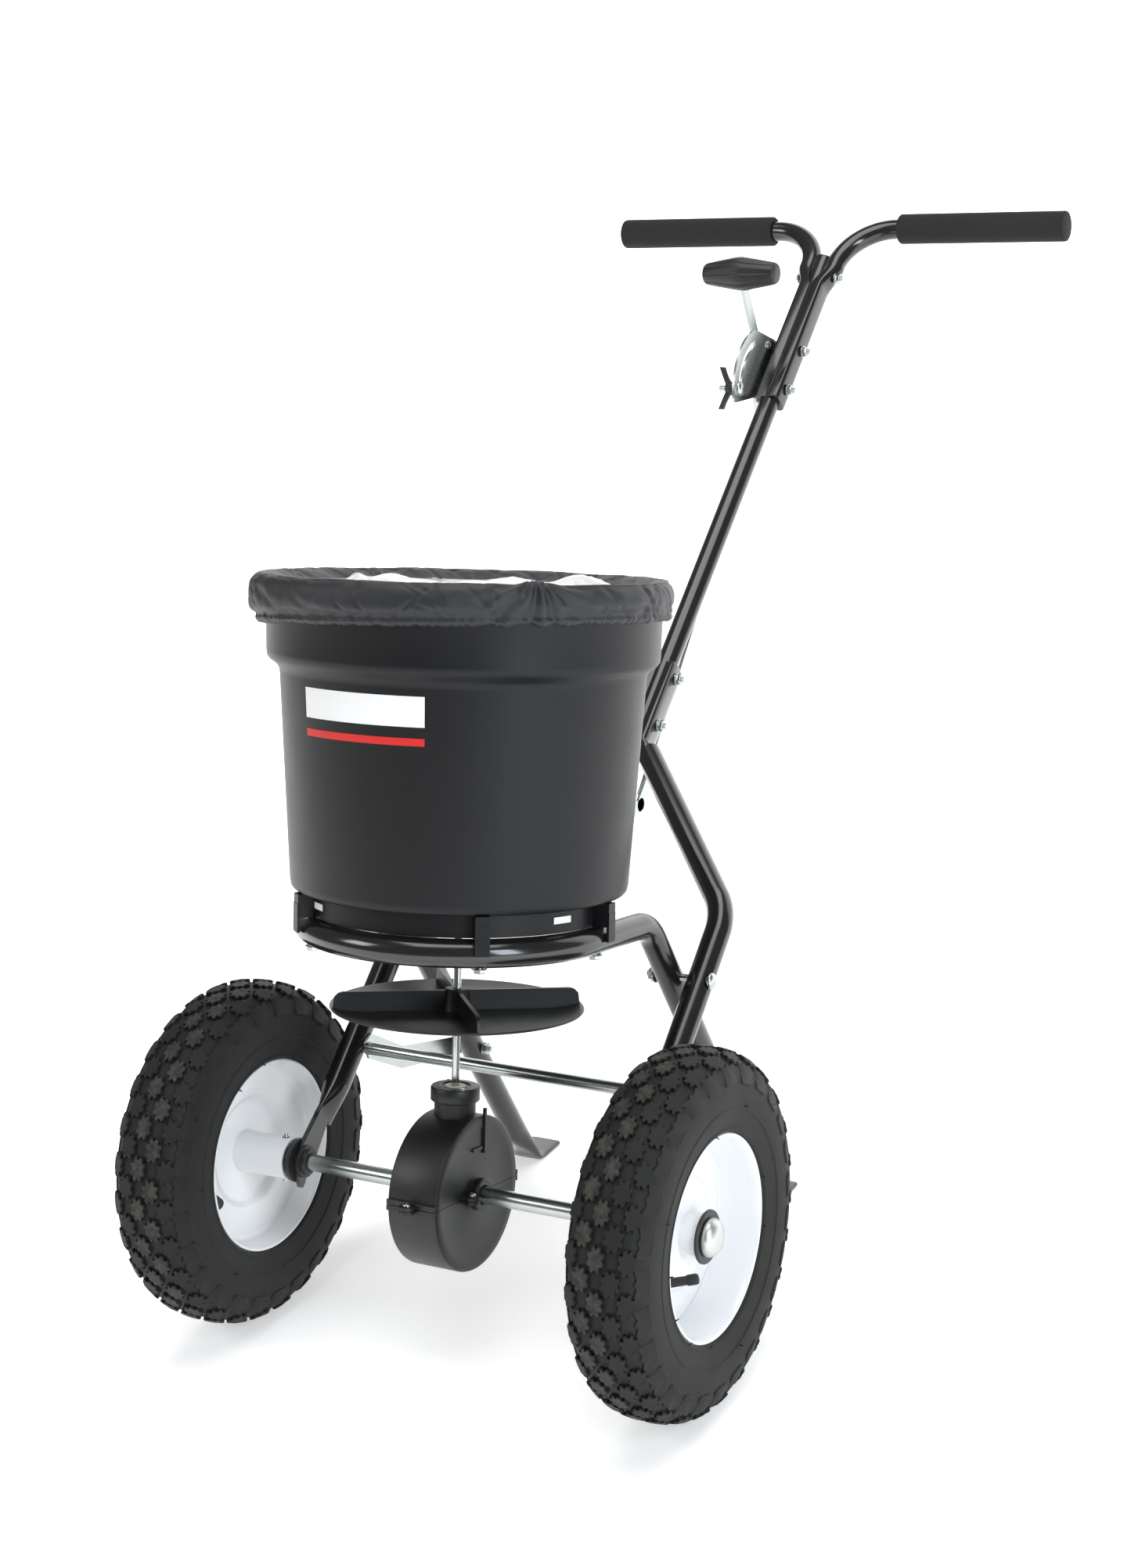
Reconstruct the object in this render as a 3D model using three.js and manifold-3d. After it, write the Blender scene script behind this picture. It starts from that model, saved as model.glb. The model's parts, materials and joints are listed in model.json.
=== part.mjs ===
// Push broadcast spreader for seed, salt and fertiliser. Millimetres, +Z up.
// Everything is laid out about the axle with the hopper standing upright, then
// the whole machine leans back by PARK_TILT until tyres and feet share a floor.
import * as THREE from 'three';
import Module from 'manifold-3d';
import { mergeVertices } from 'three/addons/utils/BufferGeometryUtils.js';

const wasm = await Module();
wasm.setup();

const DEG = Math.PI / 180;
const GAP = 0.3;

// stance
const PARK_TILT = 12.7 * DEG;
const TYRE_R = 165;

// wheels
const HALF_TRACK = 235.6;
const TYRE_W = 76;
const TYRE_WALL = 7;
const BEAD_R = 92;
const BEAD_HALF = 24;
const RIM_HALF_W = 32;
const HUB_R = 20;
const HUB_IN = 178;
const HUB_OUT = 257;
const AXLE_R = 8;
const AXLE_END = 262;

// frame tubes
const TUBE_R = 12.7;
const RING_R = 136.5;
const RING_Z = 247;
const LEG_TOP = [137.5, 104, RING_Z];
const LEG_FOOT = [140.5, 384, -80];
const FOOT_W = 36;
const FOOT_T = 5;
const FRONT_TUBE_X = 167.6;
const FRONT_PLATE_X = 167;

// handle, measured along its own slope from the lowest handle bolt
const HANDLE_BASE = new THREE.Vector3(0, 352.5, 399.6);
const HANDLE_UP = new THREE.Vector3(0, 0.6414, 0.7672);
const HANDLE_BACK = new THREE.Vector3(0, 0.7672, -0.6414);
const HANDLE_R = 11.1;
const HANDLE_LENGTH = [-24, 640];
const BAR_X = 15.5;
const BAR_CORNER = [BAR_X, 795, 927];
const GRIP_X = [77.5, 270.5];
const GRIP_R = 16.5;
const LOWER_BOLTS = [0, 58];
const UPPER_BOLTS = [447.6, 503.7, 613];

// hopper and spinner
const BODY_Z = 281;
const STEP_Z = 476;
const RIM_Z = 558;
const LEG_ANGLES = [-51, -129, 3, 177];
const WINDOW_ANGLES = [-18, -162, -123];
const SPINNER_Z = 173;
const SPINNER_R = 115;
const SHAFT_R = 3.6;

// gearbox
const DRUM_R = 72;
const DRUM_HALF = 25;
const GEAR_TEETH = 48;
const PINION_TEETH = 8;

const material = (color, roughness, metalness, name) => {
  const made = new THREE.MeshStandardMaterial({ color, roughness, metalness });
  made.name = name;
  return made;
};
const BLACK_PAINT = material(0x141414, 0.25, 0.0, 'black_paint');
const ZINC = material(0xb9bec2, 0.32, 1.0, 'zinc_plate');
const WHITE_PAINT = material(0xe9eaec, 0.22, 0.0, 'white_paint');
const TYRE = material(0x242322, 0.85, 0.0, 'tyre_rubber');
const RUBBER = material(0x1a1a1a, 0.7, 0.0, 'valve_rubber');
const HOPPER_PLASTIC = material(0x1b1b1c, 0.42, 0.0, 'hopper_plastic');
const BLACK_PLASTIC = material(0x1d1d1e, 0.5, 0.0, 'black_plastic');
const FOAM = material(0x1c1c1c, 0.9, 0.0, 'grip_foam');
const GEAR_NYLON = material(0xd9d4c4, 0.5, 0.0, 'gear_nylon');
const NYLON_CLOTH = material(0x17181a, 0.8, 0.0, 'nylon_cloth');

// a closed three.js geometry as a manifold body that faces outwards
const solid = (geometry) => {
  const plain = geometry.clone();
  plain.deleteAttribute('normal');
  if (plain.getAttribute('uv')) plain.deleteAttribute('uv');
  const merged = mergeVertices(plain, 1e-4);
  const at = merged.getAttribute('position');
  const corner = [0, 1, 2].map(() => new THREE.Vector3());
  const faces = [];
  let volume = 0;
  for (let i = 0; i < merged.getIndex().count; i += 3) {
    const face = [0, 1, 2].map((k) => merged.getIndex().getX(i + k));
    if (face[0] === face[1] || face[1] === face[2] || face[2] === face[0]) continue;
    corner.forEach((point, k) => point.fromBufferAttribute(at, face[k]));
    volume += corner[0].dot(corner[1].clone().cross(corner[2]));
    faces.push(face);
  }
  if (volume < 0) faces.forEach((face) => face.reverse());
  return new wasm.Manifold(new wasm.Mesh({
    numProp: 3,
    vertProperties: new Float32Array(at.array),
    triVerts: new Uint32Array(faces.flat()),
  }));
};

const geometryOf = (body) => {
  const data = body.getMesh();
  const geometry = new THREE.BufferGeometry();
  geometry.setAttribute('position', new THREE.BufferAttribute(new Float32Array(data.vertProperties), 3));
  geometry.setIndex(new THREE.BufferAttribute(new Uint32Array(data.triVerts), 1));
  const flat = geometry.toNonIndexed();
  flat.computeVertexNormals();
  return flat;
};

const machine = new THREE.Group();
machine.name = 'garden_spreader';

const put = (name, body, paint) => {
  const mesh = new THREE.Mesh(geometryOf(body), paint);
  mesh.name = name;
  machine.add(mesh);
};

const union = (bodies) => bodies.reduce((sum, body) => sum.add(body));
const hull = (bodies) => wasm.Manifold.hull(bodies);

// a box, and cylinders lying along each axis, all given by centre
const box = (sx, sy, sz, at = [0, 0, 0], turnX = 0) => {
  const geometry = new THREE.BoxGeometry(sx, sy, sz);
  geometry.rotateX(turnX);
  geometry.translate(...at);
  return solid(geometry);
};
const rodX = (radius, x0, x1, y = 0, z = 0, sides = 24) => {
  const geometry = new THREE.CylinderGeometry(radius, radius, Math.abs(x1 - x0), sides);
  geometry.rotateZ(-90 * DEG);
  geometry.translate((x0 + x1) / 2, y, z);
  return solid(geometry);
};
const rodZ = (radius, z0, z1, x = 0, y = 0, sides = 24, topRadius = radius) => {
  const geometry = new THREE.CylinderGeometry(topRadius, radius, Math.abs(z1 - z0), sides);
  geometry.rotateX(90 * DEG);
  geometry.translate(x, y, (z0 + z1) / 2);
  return solid(geometry);
};
const rodBetween = (from, to, radius, sides = 20) => {
  const start = new THREE.Vector3(...from);
  const run = new THREE.Vector3(...to).sub(start);
  const geometry = new THREE.CylinderGeometry(radius, radius, run.length(), sides);
  const turn = new THREE.Quaternion().setFromUnitVectors(new THREE.Vector3(0, 1, 0), run.clone().normalize());
  geometry.applyQuaternion(turn);
  geometry.translate(...start.addScaledVector(run, 0.5).toArray());
  return solid(geometry);
};
// a closed ring or disc turned about Z from [radius, height] pairs
const latheZ = (profile, sides = 48) => {
  const points = profile.map(([r, z]) => new THREE.Vector2(r, z));
  if (profile[0][0] > 0) points.push(points[0].clone());
  const geometry = new THREE.LatheGeometry(points, sides);
  geometry.rotateX(90 * DEG);
  return solid(geometry);
};
const latheX = (profile, sides = 48, mirror = 1) => {
  const points = profile.map(([r, x]) => new THREE.Vector2(r, x * mirror));
  if (profile[0][0] > 0) points.push(points[0].clone());
  const geometry = new THREE.LatheGeometry(points, sides);
  geometry.rotateZ(-90 * DEG);
  return solid(geometry);
};
// a flat plate: outline in (y, z), thickness from x0 to x1
const plateX = (outline, x0, x1, holes = []) => {
  const shape = new THREE.Shape(outline.map(([y, z]) => new THREE.Vector2(y, z)));
  holes.forEach((hole) => shape.holes.push(new THREE.Path(hole.map(([y, z]) => new THREE.Vector2(y, z)))));
  const geometry = new THREE.ExtrudeGeometry(shape, { depth: x1 - x0, bevelEnabled: false, curveSegments: 8 });
  geometry.rotateY(90 * DEG);
  geometry.rotateX(90 * DEG);
  geometry.translate(x0, 0, 0);
  return solid(geometry);
};

// tube along straight runs joined by round bends
class BentPath extends THREE.Curve {
  constructor(stations) {
    super();
    this.stations = stations;
  }
  getPoint(t, target = new THREE.Vector3()) {
    const last = this.stations.length - 1;
    const index = Math.min(Math.floor(t * last + 1e-9), last - 1);
    return target.lerpVectors(this.stations[index], this.stations[index + 1], t * last - index);
  }
  getPointAt(u, target) {
    return this.getPoint(u, target);
  }
  getTangentAt(u) {
    const last = this.stations.length - 1;
    const index = Math.round(u * last);
    const before = this.stations[Math.max(index - 1, 0)];
    const after = this.stations[Math.min(index + 1, last)];
    return after.clone().sub(before).normalize();
  }
}
const bend = (corners, radii, steps = 6) => {
  const stations = [corners[0].clone()];
  for (let i = 1; i < corners.length - 1; i += 1) {
    const corner = corners[i];
    const back = corners[i - 1].clone().sub(corner).normalize();
    const on = corners[i + 1].clone().sub(corner).normalize();
    const half = back.angleTo(on) / 2;
    const centre = corner.clone().addScaledVector(back.clone().add(on).normalize(), radii[i - 1] / Math.sin(half));
    const start = corner.clone().addScaledVector(back, radii[i - 1] / Math.tan(half)).sub(centre);
    const end = corner.clone().addScaledVector(on, radii[i - 1] / Math.tan(half)).sub(centre);
    const total = start.angleTo(end);
    for (let k = 0; k <= steps; k += 1) {
      const t = k / steps;
      const point = start.clone().multiplyScalar(Math.sin((1 - t) * total) / Math.sin(total));
      point.addScaledVector(end, Math.sin(t * total) / Math.sin(total));
      stations.push(point.add(centre));
    }
  }
  stations.push(corners[corners.length - 1].clone());
  return stations;
};
const sweep = (stations, radius, sides = 16) => {
  const circle = new THREE.Shape();
  circle.absarc(0, 0, radius, 0, 2 * Math.PI, false);
  const path = new BentPath(stations);
  const settings = { steps: stations.length - 1, extrudePath: path, curveSegments: sides / 2 };
  return solid(new THREE.ExtrudeGeometry(circle, settings));
};
const vec = (p) => new THREE.Vector3(...p);

// a point on the handle: sideways, up its slope, and behind it
const onHandle = (x, up, back = 0) => HANDLE_BASE.clone().addScaledVector(HANDLE_UP, up)
  .addScaledVector(HANDLE_BACK, back).setX(x);
const handleBox = (x, up, back, sx, sUp, sBack) => {
  const geometry = new THREE.BoxGeometry(sx, sBack, sUp);
  geometry.rotateX(-Math.atan2(HANDLE_UP.y, HANDLE_UP.z));
  geometry.translate(...onHandle(x, up, back).toArray());
  return solid(geometry);
};
// a bolt across the machine: round head at x0, washer, nut and thread end past x1
const boltX = (x0, x1, y, z, shank = 3) => {
  const out = Math.sign(x1 - x0);
  return union([
    rodX(shank, x0 - out * 2, x1 + out * 9, y, z, 8),
    rodX(shank * 2, x0 - out * 3.6, x0, y, z, 10),
    rodX(shank * 1.95, x1, x1 + out * 1.5, y, z, 10),
    rodX(shank * 1.75, x1 + out * 1.4, x1 + out * 6.2, y, z, 6),
  ]);
};

// ---- wheels
// an open-bottomed carcass: round outside from bead to bead, then back inside it
const tyreProfile = () => {
  const waist = (TYRE_R + BEAD_R) / 2;
  const bulge = (v) => Math.sign(v) * Math.abs(v) ** 0.72;
  const wallPoint = (degrees, inset) => {
    const radius = waist + (waist - BEAD_R - inset) * bulge(Math.sin(degrees * DEG));
    return [radius, (TYRE_W / 2 - inset) * bulge(Math.cos(degrees * DEG))];
  };
  const outline = [[BEAD_R, BEAD_HALF - TYRE_WALL], [BEAD_R, BEAD_HALF]];
  for (let turn = -30; turn <= 210; turn += 30) outline.push(wallPoint(turn, 0));
  outline.push([BEAD_R, -BEAD_HALF], [BEAD_R, TYRE_WALL - BEAD_HALF]);
  for (let turn = 210; turn >= -30; turn -= 60) outline.push(wallPoint(turn, TYRE_WALL));
  return outline;
};
const rimProfile = [
  [BEAD_R - 0.6, -RIM_HALF_W], [BEAD_R - 3.4, -RIM_HALF_W], [85, -11], [76, -9], [54, -8],
  [44, -1], [HUB_R, 0], [HUB_R, HUB_IN - HALF_TRACK], [HUB_R - 3, HUB_IN - HALF_TRACK],
  [HUB_R - 3, HUB_OUT - HALF_TRACK], [HUB_R, HUB_OUT - HALF_TRACK], [HUB_R, 2.6], [44, 2], [54, -5], [76, -6],
  [87, -8], [BEAD_R - 3.4, RIM_HALF_W], [BEAD_R - 0.6, RIM_HALF_W], [90, 20], [90, -20],
];
const VALVE_TURN = 210 * DEG;
for (const side of [-1, 1]) {
  const name = side < 0 ? 'left' : 'right';
  const centre = side * HALF_TRACK;
  const tyre = latheX(tyreProfile(), 34).translate([centre, 0, 0]);
  put(`tyre_${name}`, tyre, TYRE);

  let rim = latheX(rimProfile, 24, side).translate([centre, 0, 0]);
  const valveY = Math.cos(VALVE_TURN);
  const valveZ = Math.sin(VALVE_TURN);
  const valveFoot = [centre - side * 3, valveY * 66, valveZ * 66];
  const valveTip = [centre + side * 27, valveY * 52, valveZ * 52];
  const inward = [centre - side * 20, valveY * 73.9, valveZ * 73.9];
  rim = rim.subtract(rodBetween(inward, valveTip, 4.5 + GAP, 10));
  if (side < 0) rim = rim.subtract(rodZ(2.5 + GAP, -HUB_R - 4, HUB_R + 4, -HUB_IN - 9, 0, 8));
  put(`rim_${name}`, rim, WHITE_PAINT);

  const stem = rodBetween(inward, valveTip, 4, 14);
  const capTip = vec(valveTip).add(vec(valveTip).sub(vec(valveFoot)).normalize().multiplyScalar(9)).toArray();
  put(`valve_stem_${name}`, stem.add(rodBetween(valveTip, capTip, 5, 14)), RUBBER);

  const bore = rodX(AXLE_R + GAP, -300, 300);
  const sleeve = rodX(HUB_R - 3 - GAP, side * (HUB_OUT - 14), side * (HUB_OUT + 3.2), 0, 0, 20);
  const flange = rodX(HUB_R + 4, side * (HUB_OUT + GAP), side * (HUB_OUT + 3.2), 0, 0, 24);
  put(`hub_bushing_${name}`, sleeve.add(flange).subtract(bore), BLACK_PLASTIC);

  const dome = [[0, 0], [15, 0], [17.5, 1.5], [17, 5], [13.5, 8.6], [7, 10.6], [0, 11.4]];
  const capShape = latheX(dome, 20, side).translate([side * (HUB_OUT + 3.5), 0, 0]);
  const socket = rodX(AXLE_R + 0.1, side * HUB_OUT, side * (AXLE_END + GAP));
  put(`axle_cap_${name}`, capShape.subtract(socket), ZINC);

  const frameBush = union([
    rodX(12, side * 158, side * 177.4, 0, 0, 20),
    rodX(15.5, side * (FRONT_PLATE_X - 2.5 - GAP), side * 161, 0, 0, 20),
    rodX(21, side * (FRONT_PLATE_X + 2.5 + GAP), side * 174.5, 0, 0, 24),
  ]).subtract(bore);
  put(`axle_bushing_${name}`, frameBush, BLACK_PLASTIC);
}
let axle = rodX(AXLE_R, -AXLE_END, AXLE_END, 0, 0, 24);
axle = axle.subtract(rodZ(2.5 + GAP, -AXLE_R - 4, AXLE_R + 4, -HUB_IN - 9, 0, 8));
put('axle', axle, ZINC);
put('drive_pin', rodZ(2.5, -HUB_R - 3, HUB_R + 3, -HUB_IN - 9, 0, 14), ZINC);

// ---- support tube: ring under the hopper, two legs, two flat feet
const ringStations = [];
const footLift = new THREE.Vector3(0, -0.6506, 0.7594);
const legPath = (side) => {
  const foot = vec([side * LEG_FOOT[0], LEG_FOOT[1], LEG_FOOT[2]]);
  const shin = foot.clone().addScaledVector(footLift, 46).setX(side * LEG_FOOT[0]);
  const knee = vec([side * LEG_TOP[0], LEG_TOP[1], LEG_TOP[2]]);
  return bend([shin, knee, vec([side * RING_R, 0, RING_Z])], [42], 6);
};
ringStations.push(...legPath(-1));
for (let i = 1; i < 18; i += 1) {
  const turn = Math.PI + (Math.PI * i) / 18;
  ringStations.push(vec([RING_R * Math.cos(turn), RING_R * Math.sin(turn), RING_Z]));
}
ringStations.push(...legPath(1).reverse());
const supportParts = [sweep(ringStations, TUBE_R, 12)];
for (const side of [-1, 1]) {
  const foot = vec([side * LEG_FOOT[0], LEG_FOOT[1], LEG_FOOT[2]]);
  const shin = foot.clone().addScaledVector(footLift, 47).setX(side * LEG_FOOT[0]);
  const shinEnd = foot.clone().addScaledVector(footLift, 46).setX(side * LEG_FOOT[0]);
  const slope = Math.atan2(footLift.z, footLift.y);
  const flat = box(FOOT_W, 2, FOOT_T, foot.clone().add(new THREE.Vector3(0, 0, 0.6)).toArray(), slope);
  supportParts.push(hull([rodBetween(shin.toArray(), shinEnd.toArray(), TUBE_R, 12), flat]));
  const sole = new THREE.BoxGeometry(FOOT_W, 44, FOOT_T);
  sole.translate(0, 17, 0);
  sole.rotateX(PARK_TILT);
  sole.translate(...foot.toArray());
  supportParts.push(solid(sole));
}
const frameBoltAt = { y: 153, z: 190.5 };
let support = union(supportParts);
for (const angle of LEG_ANGLES) {
  const x = RING_R * Math.cos(angle * DEG);
  const y = RING_R * Math.sin(angle * DEG);
  support = support.subtract(rodZ(3 + GAP, RING_Z - 20, RING_Z + 20, x, y, 8));
}
support = support.subtract(rodX(4 + GAP, -200, 200, frameBoltAt.y, frameBoltAt.z, 8));
const strapBoltAt = { y: 262, z: 64 };
support = support.subtract(rodX(3 + GAP, -200, 200, strapBoltAt.y, strapBoltAt.z, 8));
put('support_tube', support, BLACK_PAINT);

// ---- front tubes: handle, down behind the hopper, out and forward to the axle
const plateTop = (side, from, to) => {
  const slab = handleBox(side * 11.6, (from + to) / 2, 0, 9.6, to - from, 27);
  return slab.subtract(rodBetween(onHandle(0, from - 40).toArray(), onHandle(0, to + 60).toArray(), HANDLE_R + GAP, 16));
};
for (const side of [-1, 1]) {
  const start = onHandle(side * 17.5, -34);
  const elbow = vec([side * FRONT_TUBE_X, 204, 246]);
  const heel = vec([side * FRONT_TUBE_X, 56, 62]);
  const heelOn = vec([side * FRONT_TUBE_X, 53, 58.6]);
  const body = sweep(bend([start, elbow, heel], [62], 6), TUBE_R, 12);
  const plate = plateX([[42, 38], [31, 51], [-11, 8], [-15, -5], [-5, -26], [13, -13]],
    side * FRONT_PLATE_X - 2.5, side * FRONT_PLATE_X + 2.5);
  const neck = hull([
    rodBetween(heel.toArray(), heelOn.toArray(), TUBE_R, 12),
    plateX([[42, 38], [31, 51], [28, 48], [39, 35]], side * FRONT_PLATE_X - 2.5, side * FRONT_PLATE_X + 2.5),
  ]);
  const saddle = plateTop(side, -26, 72);
  const collar = hull([
    rodBetween(onHandle(side * 17.5, -34).toArray(), onHandle(side * 18.5, -35.5).toArray(), TUBE_R, 12),
    handleBox(side * 13.6, -25.2, 0, 4.8, 1, 26.6),
  ]);
  let tube = union([body, plate, neck, saddle, collar]);
  tube = tube.subtract(rodX(12 + GAP, -200, 200, 0, 0, 20));
  for (const up of LOWER_BOLTS) {
    const at = onHandle(0, up);
    tube = tube.subtract(rodX(3 + GAP, -40, 40, at.y, at.z, 8));
  }
  tube = tube.subtract(rodX(4 + GAP, -200, 200, frameBoltAt.y, frameBoltAt.z, 8));
  tube = tube.subtract(rodBetween(onHandle(0, -90).toArray(), onHandle(0, 90).toArray(), HANDLE_R + GAP, 16));
  put(`front_tube_${side < 0 ? 'left' : 'right'}`, tube, BLACK_PAINT);
}

for (const side of [-1, 1]) {
  const name = side < 0 ? 'left' : 'right';
  const { y, z } = frameBoltAt;
  put(`frame_bolt_${name}`, boltX(side * 180.6, side * 124.6, y, z, 4), ZINC);

  const strap = plateX([[82, 100], [92, 108], [150, 84], [270, 73], [272, 55], [148, 62], [88, 84]],
    side * 152.3, side * 154.5);
  const rodHole = rodX(6 + GAP, -200, 200, 88, 94, 16);
  const boltHole = rodX(3 + GAP, -200, 200, strapBoltAt.y, strapBoltAt.z, 8);
  put(`brace_strap_${name}`, strap.subtract(rodHole).subtract(boltHole), ZINC);
  put(`strap_bolt_${name}`, boltX(side * 154.8, side * 126, strapBoltAt.y, strapBoltAt.z), ZINC);
}
put('brace_rod', rodX(6, -154.3, 154.3, 88, 94, 16), ZINC);

// ---- handle tube, T handlebars and grips
let handle = rodBetween(onHandle(0, HANDLE_LENGTH[0]).toArray(), onHandle(0, HANDLE_LENGTH[1]).toArray(), HANDLE_R, 16);
handle = handle.subtract(rodBetween(onHandle(0, -60).toArray(), onHandle(0, 700).toArray(), HANDLE_R - 1.6, 10));
for (const up of [...LOWER_BOLTS, ...UPPER_BOLTS]) {
  const at = onHandle(0, up);
  handle = handle.subtract(rodX(3 + GAP, -40, 40, at.y, at.z, 8));
}
put('handle_tube', handle, BLACK_PAINT);

for (const side of [-1, 1]) {
  const name = side < 0 ? 'left' : 'right';
  const corner = vec([side * BAR_CORNER[0], BAR_CORNER[1], BAR_CORNER[2]]);
  const low = onHandle(side * BAR_X, 622);
  const end = vec([side * (GRIP_X[1] - 4), BAR_CORNER[1], BAR_CORNER[2]]);
  const barTube = sweep(bend([low, corner, end], [58], 6), HANDLE_R, 12);
  const neck = hull([
    rodBetween(low.toArray(), onHandle(side * BAR_X, 624).toArray(), HANDLE_R, 12),
    handleBox(side * 13.4, 599.2, 0, 4.8, 1, 29.6),
  ]);
  const slab = handleBox(side * 11.4, 514.5, 0, 9.2, 171, 30);
  let bar = union([barTube, neck, slab]);
  bar = bar.subtract(rodBetween(onHandle(0, 380).toArray(), onHandle(0, 642).toArray(), HANDLE_R + GAP, 16));
  bar = bar.subtract(box(1, 200, 400, [0, 780, 900]));
  for (const up of UPPER_BOLTS) {
    const at = onHandle(0, up);
    bar = bar.subtract(rodX(3 + GAP, -40, 40, at.y, at.z, 8));
  }
  const topBolt = onHandle(0, UPPER_BOLTS[2]);
  bar = bar.subtract(rodX(7, side * 21.2, side * 40, topBolt.y, topBolt.z, 16));
  put(`handlebar_${name}`, bar, BLACK_PAINT);

  const grip = rodX(GRIP_R, side * GRIP_X[0], side * GRIP_X[1], BAR_CORNER[1], BAR_CORNER[2], 28)
    .subtract(rodX(HANDLE_R + GAP, side * (GRIP_X[0] - 5), side * (GRIP_X[1] - 3.4), BAR_CORNER[1], BAR_CORNER[2], 28));
  put(`grip_${name}`, grip, FOAM);
}
const boltNames = ['lever_pivot_bolt', 'handlebar_bolt_middle', 'handlebar_bolt_top'];
UPPER_BOLTS.forEach((up, i) => {
  const at = onHandle(0, up);
  const [headX, nutX] = [[-22.9, 16.4], [-19.1, 16.4], [-21.5, 21.5]][i];
  put(boltNames[i], boltX(headX, nutX, at.y, at.z), ZINC);
});
LOWER_BOLTS.forEach((up, i) => {
  const at = onHandle(0, up);
  put(i ? 'handle_bolt_upper' : 'handle_bolt_lower', boltX(-16.8, 16.8, at.y, at.z), ZINC);
});

// ---- feed control: slotted quadrant plate, lever, stop bolt and wing nut
const pivot = onHandle(0, UPPER_BOLTS[0]);
const SLOT_R = 52.5;
const PLATE_X = [-18.8, -16.4];
const aroundPivot = (radius, angle) => [pivot.y + radius * Math.cos(angle * DEG), pivot.z + radius * Math.sin(angle * DEG)];
const arc = (radius, from, to, steps) => {
  const points = [];
  for (let i = 0; i <= steps; i += 1) points.push(aroundPivot(radius, from + ((to - from) * i) / steps));
  return points;
};
const slot = [...arc(SLOT_R + 3.4, 110, 185, 9), ...arc(SLOT_R - 3.4, 185, 110, 9)];
const upperHole = onHandle(0, UPPER_BOLTS[1]);
const quadrantOutline = [
  ...arc(67, 106, 188, 9), aroundPivot(58, 196), aroundPivot(14, 212), aroundPivot(12, 270), aroundPivot(13, 330),
  [upperHole.y + 9, upperHole.z - 8], [upperHole.y + 9, upperHole.z + 9], [upperHole.y - 6, upperHole.z + 13],
];
let quadrant = plateX(quadrantOutline, PLATE_X[0], PLATE_X[1], [slot]);
quadrant = quadrant.subtract(rodX(3 + GAP, -40, 0, pivot.y, pivot.z, 8));
quadrant = quadrant.subtract(rodX(3 + GAP, -40, 0, upperHole.y, upperHole.z, 8));
const rivetAt = aroundPivot(51.5, 73);
quadrant = union([
  quadrant,
  rodX(2.5, -24, -13.6, ...rivetAt, 8),
  rodX(4.6, PLATE_X[1], -13.6, ...rivetAt, 16),
]);
put('quadrant_plate', quadrant, ZINC);

const stopAt = aroundPivot(SLOT_R, 180);
put('stop_bolt', union([
  rodX(3, -40, -13, ...stopAt, 8),
  rodX(8, PLATE_X[1] + 0.1, -12.6, ...stopAt, 20),
]), ZINC);
const wing = union([
  rodX(7.5, -32, PLATE_X[0] - 0.8, ...stopAt, 20),
  box(4, 13, 34, [-33.5, stopAt[0], stopAt[1]]),
  box(7, 13, 10, [-37, stopAt[0], stopAt[1] - 17]),
  box(7, 13, 10, [-37, stopAt[0], stopAt[1] + 17]),
]).subtract(rodX(3 + GAP, -60, 0, ...stopAt, 8));
put('wing_nut', wing, BLACK_PLASTIC);

const LEVER_X = [-22.6, -19.6];
const ARM = 40.5;
const KNEE = [pivot.y + 4, pivot.z + 38];
const GRIP_AT = [590.5, 865];
const armAngle = Math.atan2(HANDLE_BACK.z, HANDLE_BACK.y) / DEG - 33;
const armEnd = aroundPivot(ARM, armAngle);
const bar = (from, to, half) => {
  const along = new THREE.Vector2(to[0] - from[0], to[1] - from[1]).normalize();
  const across = [-along.y * half, along.x * half];
  return [
    [from[0] + across[0], from[1] + across[1]], [from[0] - across[0], from[1] - across[1]],
    [to[0] - across[0], to[1] - across[1]], [to[0] + across[0], to[1] + across[1]],
  ];
};
const disc = (at, radius) => rodX(radius, LEVER_X[0], LEVER_X[1], ...at, 20);
const strip = (from, to, half) => plateX(bar(from, to, half), ...LEVER_X);
let lever = union([
  strip([pivot.y, pivot.z], KNEE, 6.5), disc(KNEE, 6.5), strip(KNEE, GRIP_AT, 6.5),
  disc([pivot.y, pivot.z], 10), strip([pivot.y, pivot.z], armEnd, 7.5), disc(armEnd, 7.5),
]);
const slotIn = aroundPivot(ARM - 7.6, armAngle);
const pinSlotR = 3.4;
lever = lever.subtract(hull([rodX(pinSlotR, -40, 0, ...slotIn, 12), rodX(pinSlotR, -40, 0, ...armEnd, 12)]));
lever = lever.subtract(rodX(3 + GAP, -40, 0, pivot.y, pivot.z, 16));
put('control_lever', lever, ZINC);
const barrel = [[0, -42], [10.5, -42], [12, -40], [17.6, -7], [18.2, 0], [17.6, 7], [12, 40], [10.5, 42], [0, 42]];
const knobX = (LEVER_X[0] + LEVER_X[1]) / 2;
const down = [(KNEE[0] - GRIP_AT[0]) * 0.4 + GRIP_AT[0], (KNEE[1] - GRIP_AT[1]) * 0.4 + GRIP_AT[1]];
const past = [(GRIP_AT[0] - KNEE[0]) * 0.006 + GRIP_AT[0], (GRIP_AT[1] - KNEE[1]) * 0.006 + GRIP_AT[1]];
const knob = latheX(barrel, 24).translate([knobX, ...GRIP_AT])
  .subtract(plateX(bar(down, past, 6.5 + GAP), LEVER_X[0] - GAP, LEVER_X[1] + GAP));
put('lever_knob', knob, BLACK_PLASTIC);

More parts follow.
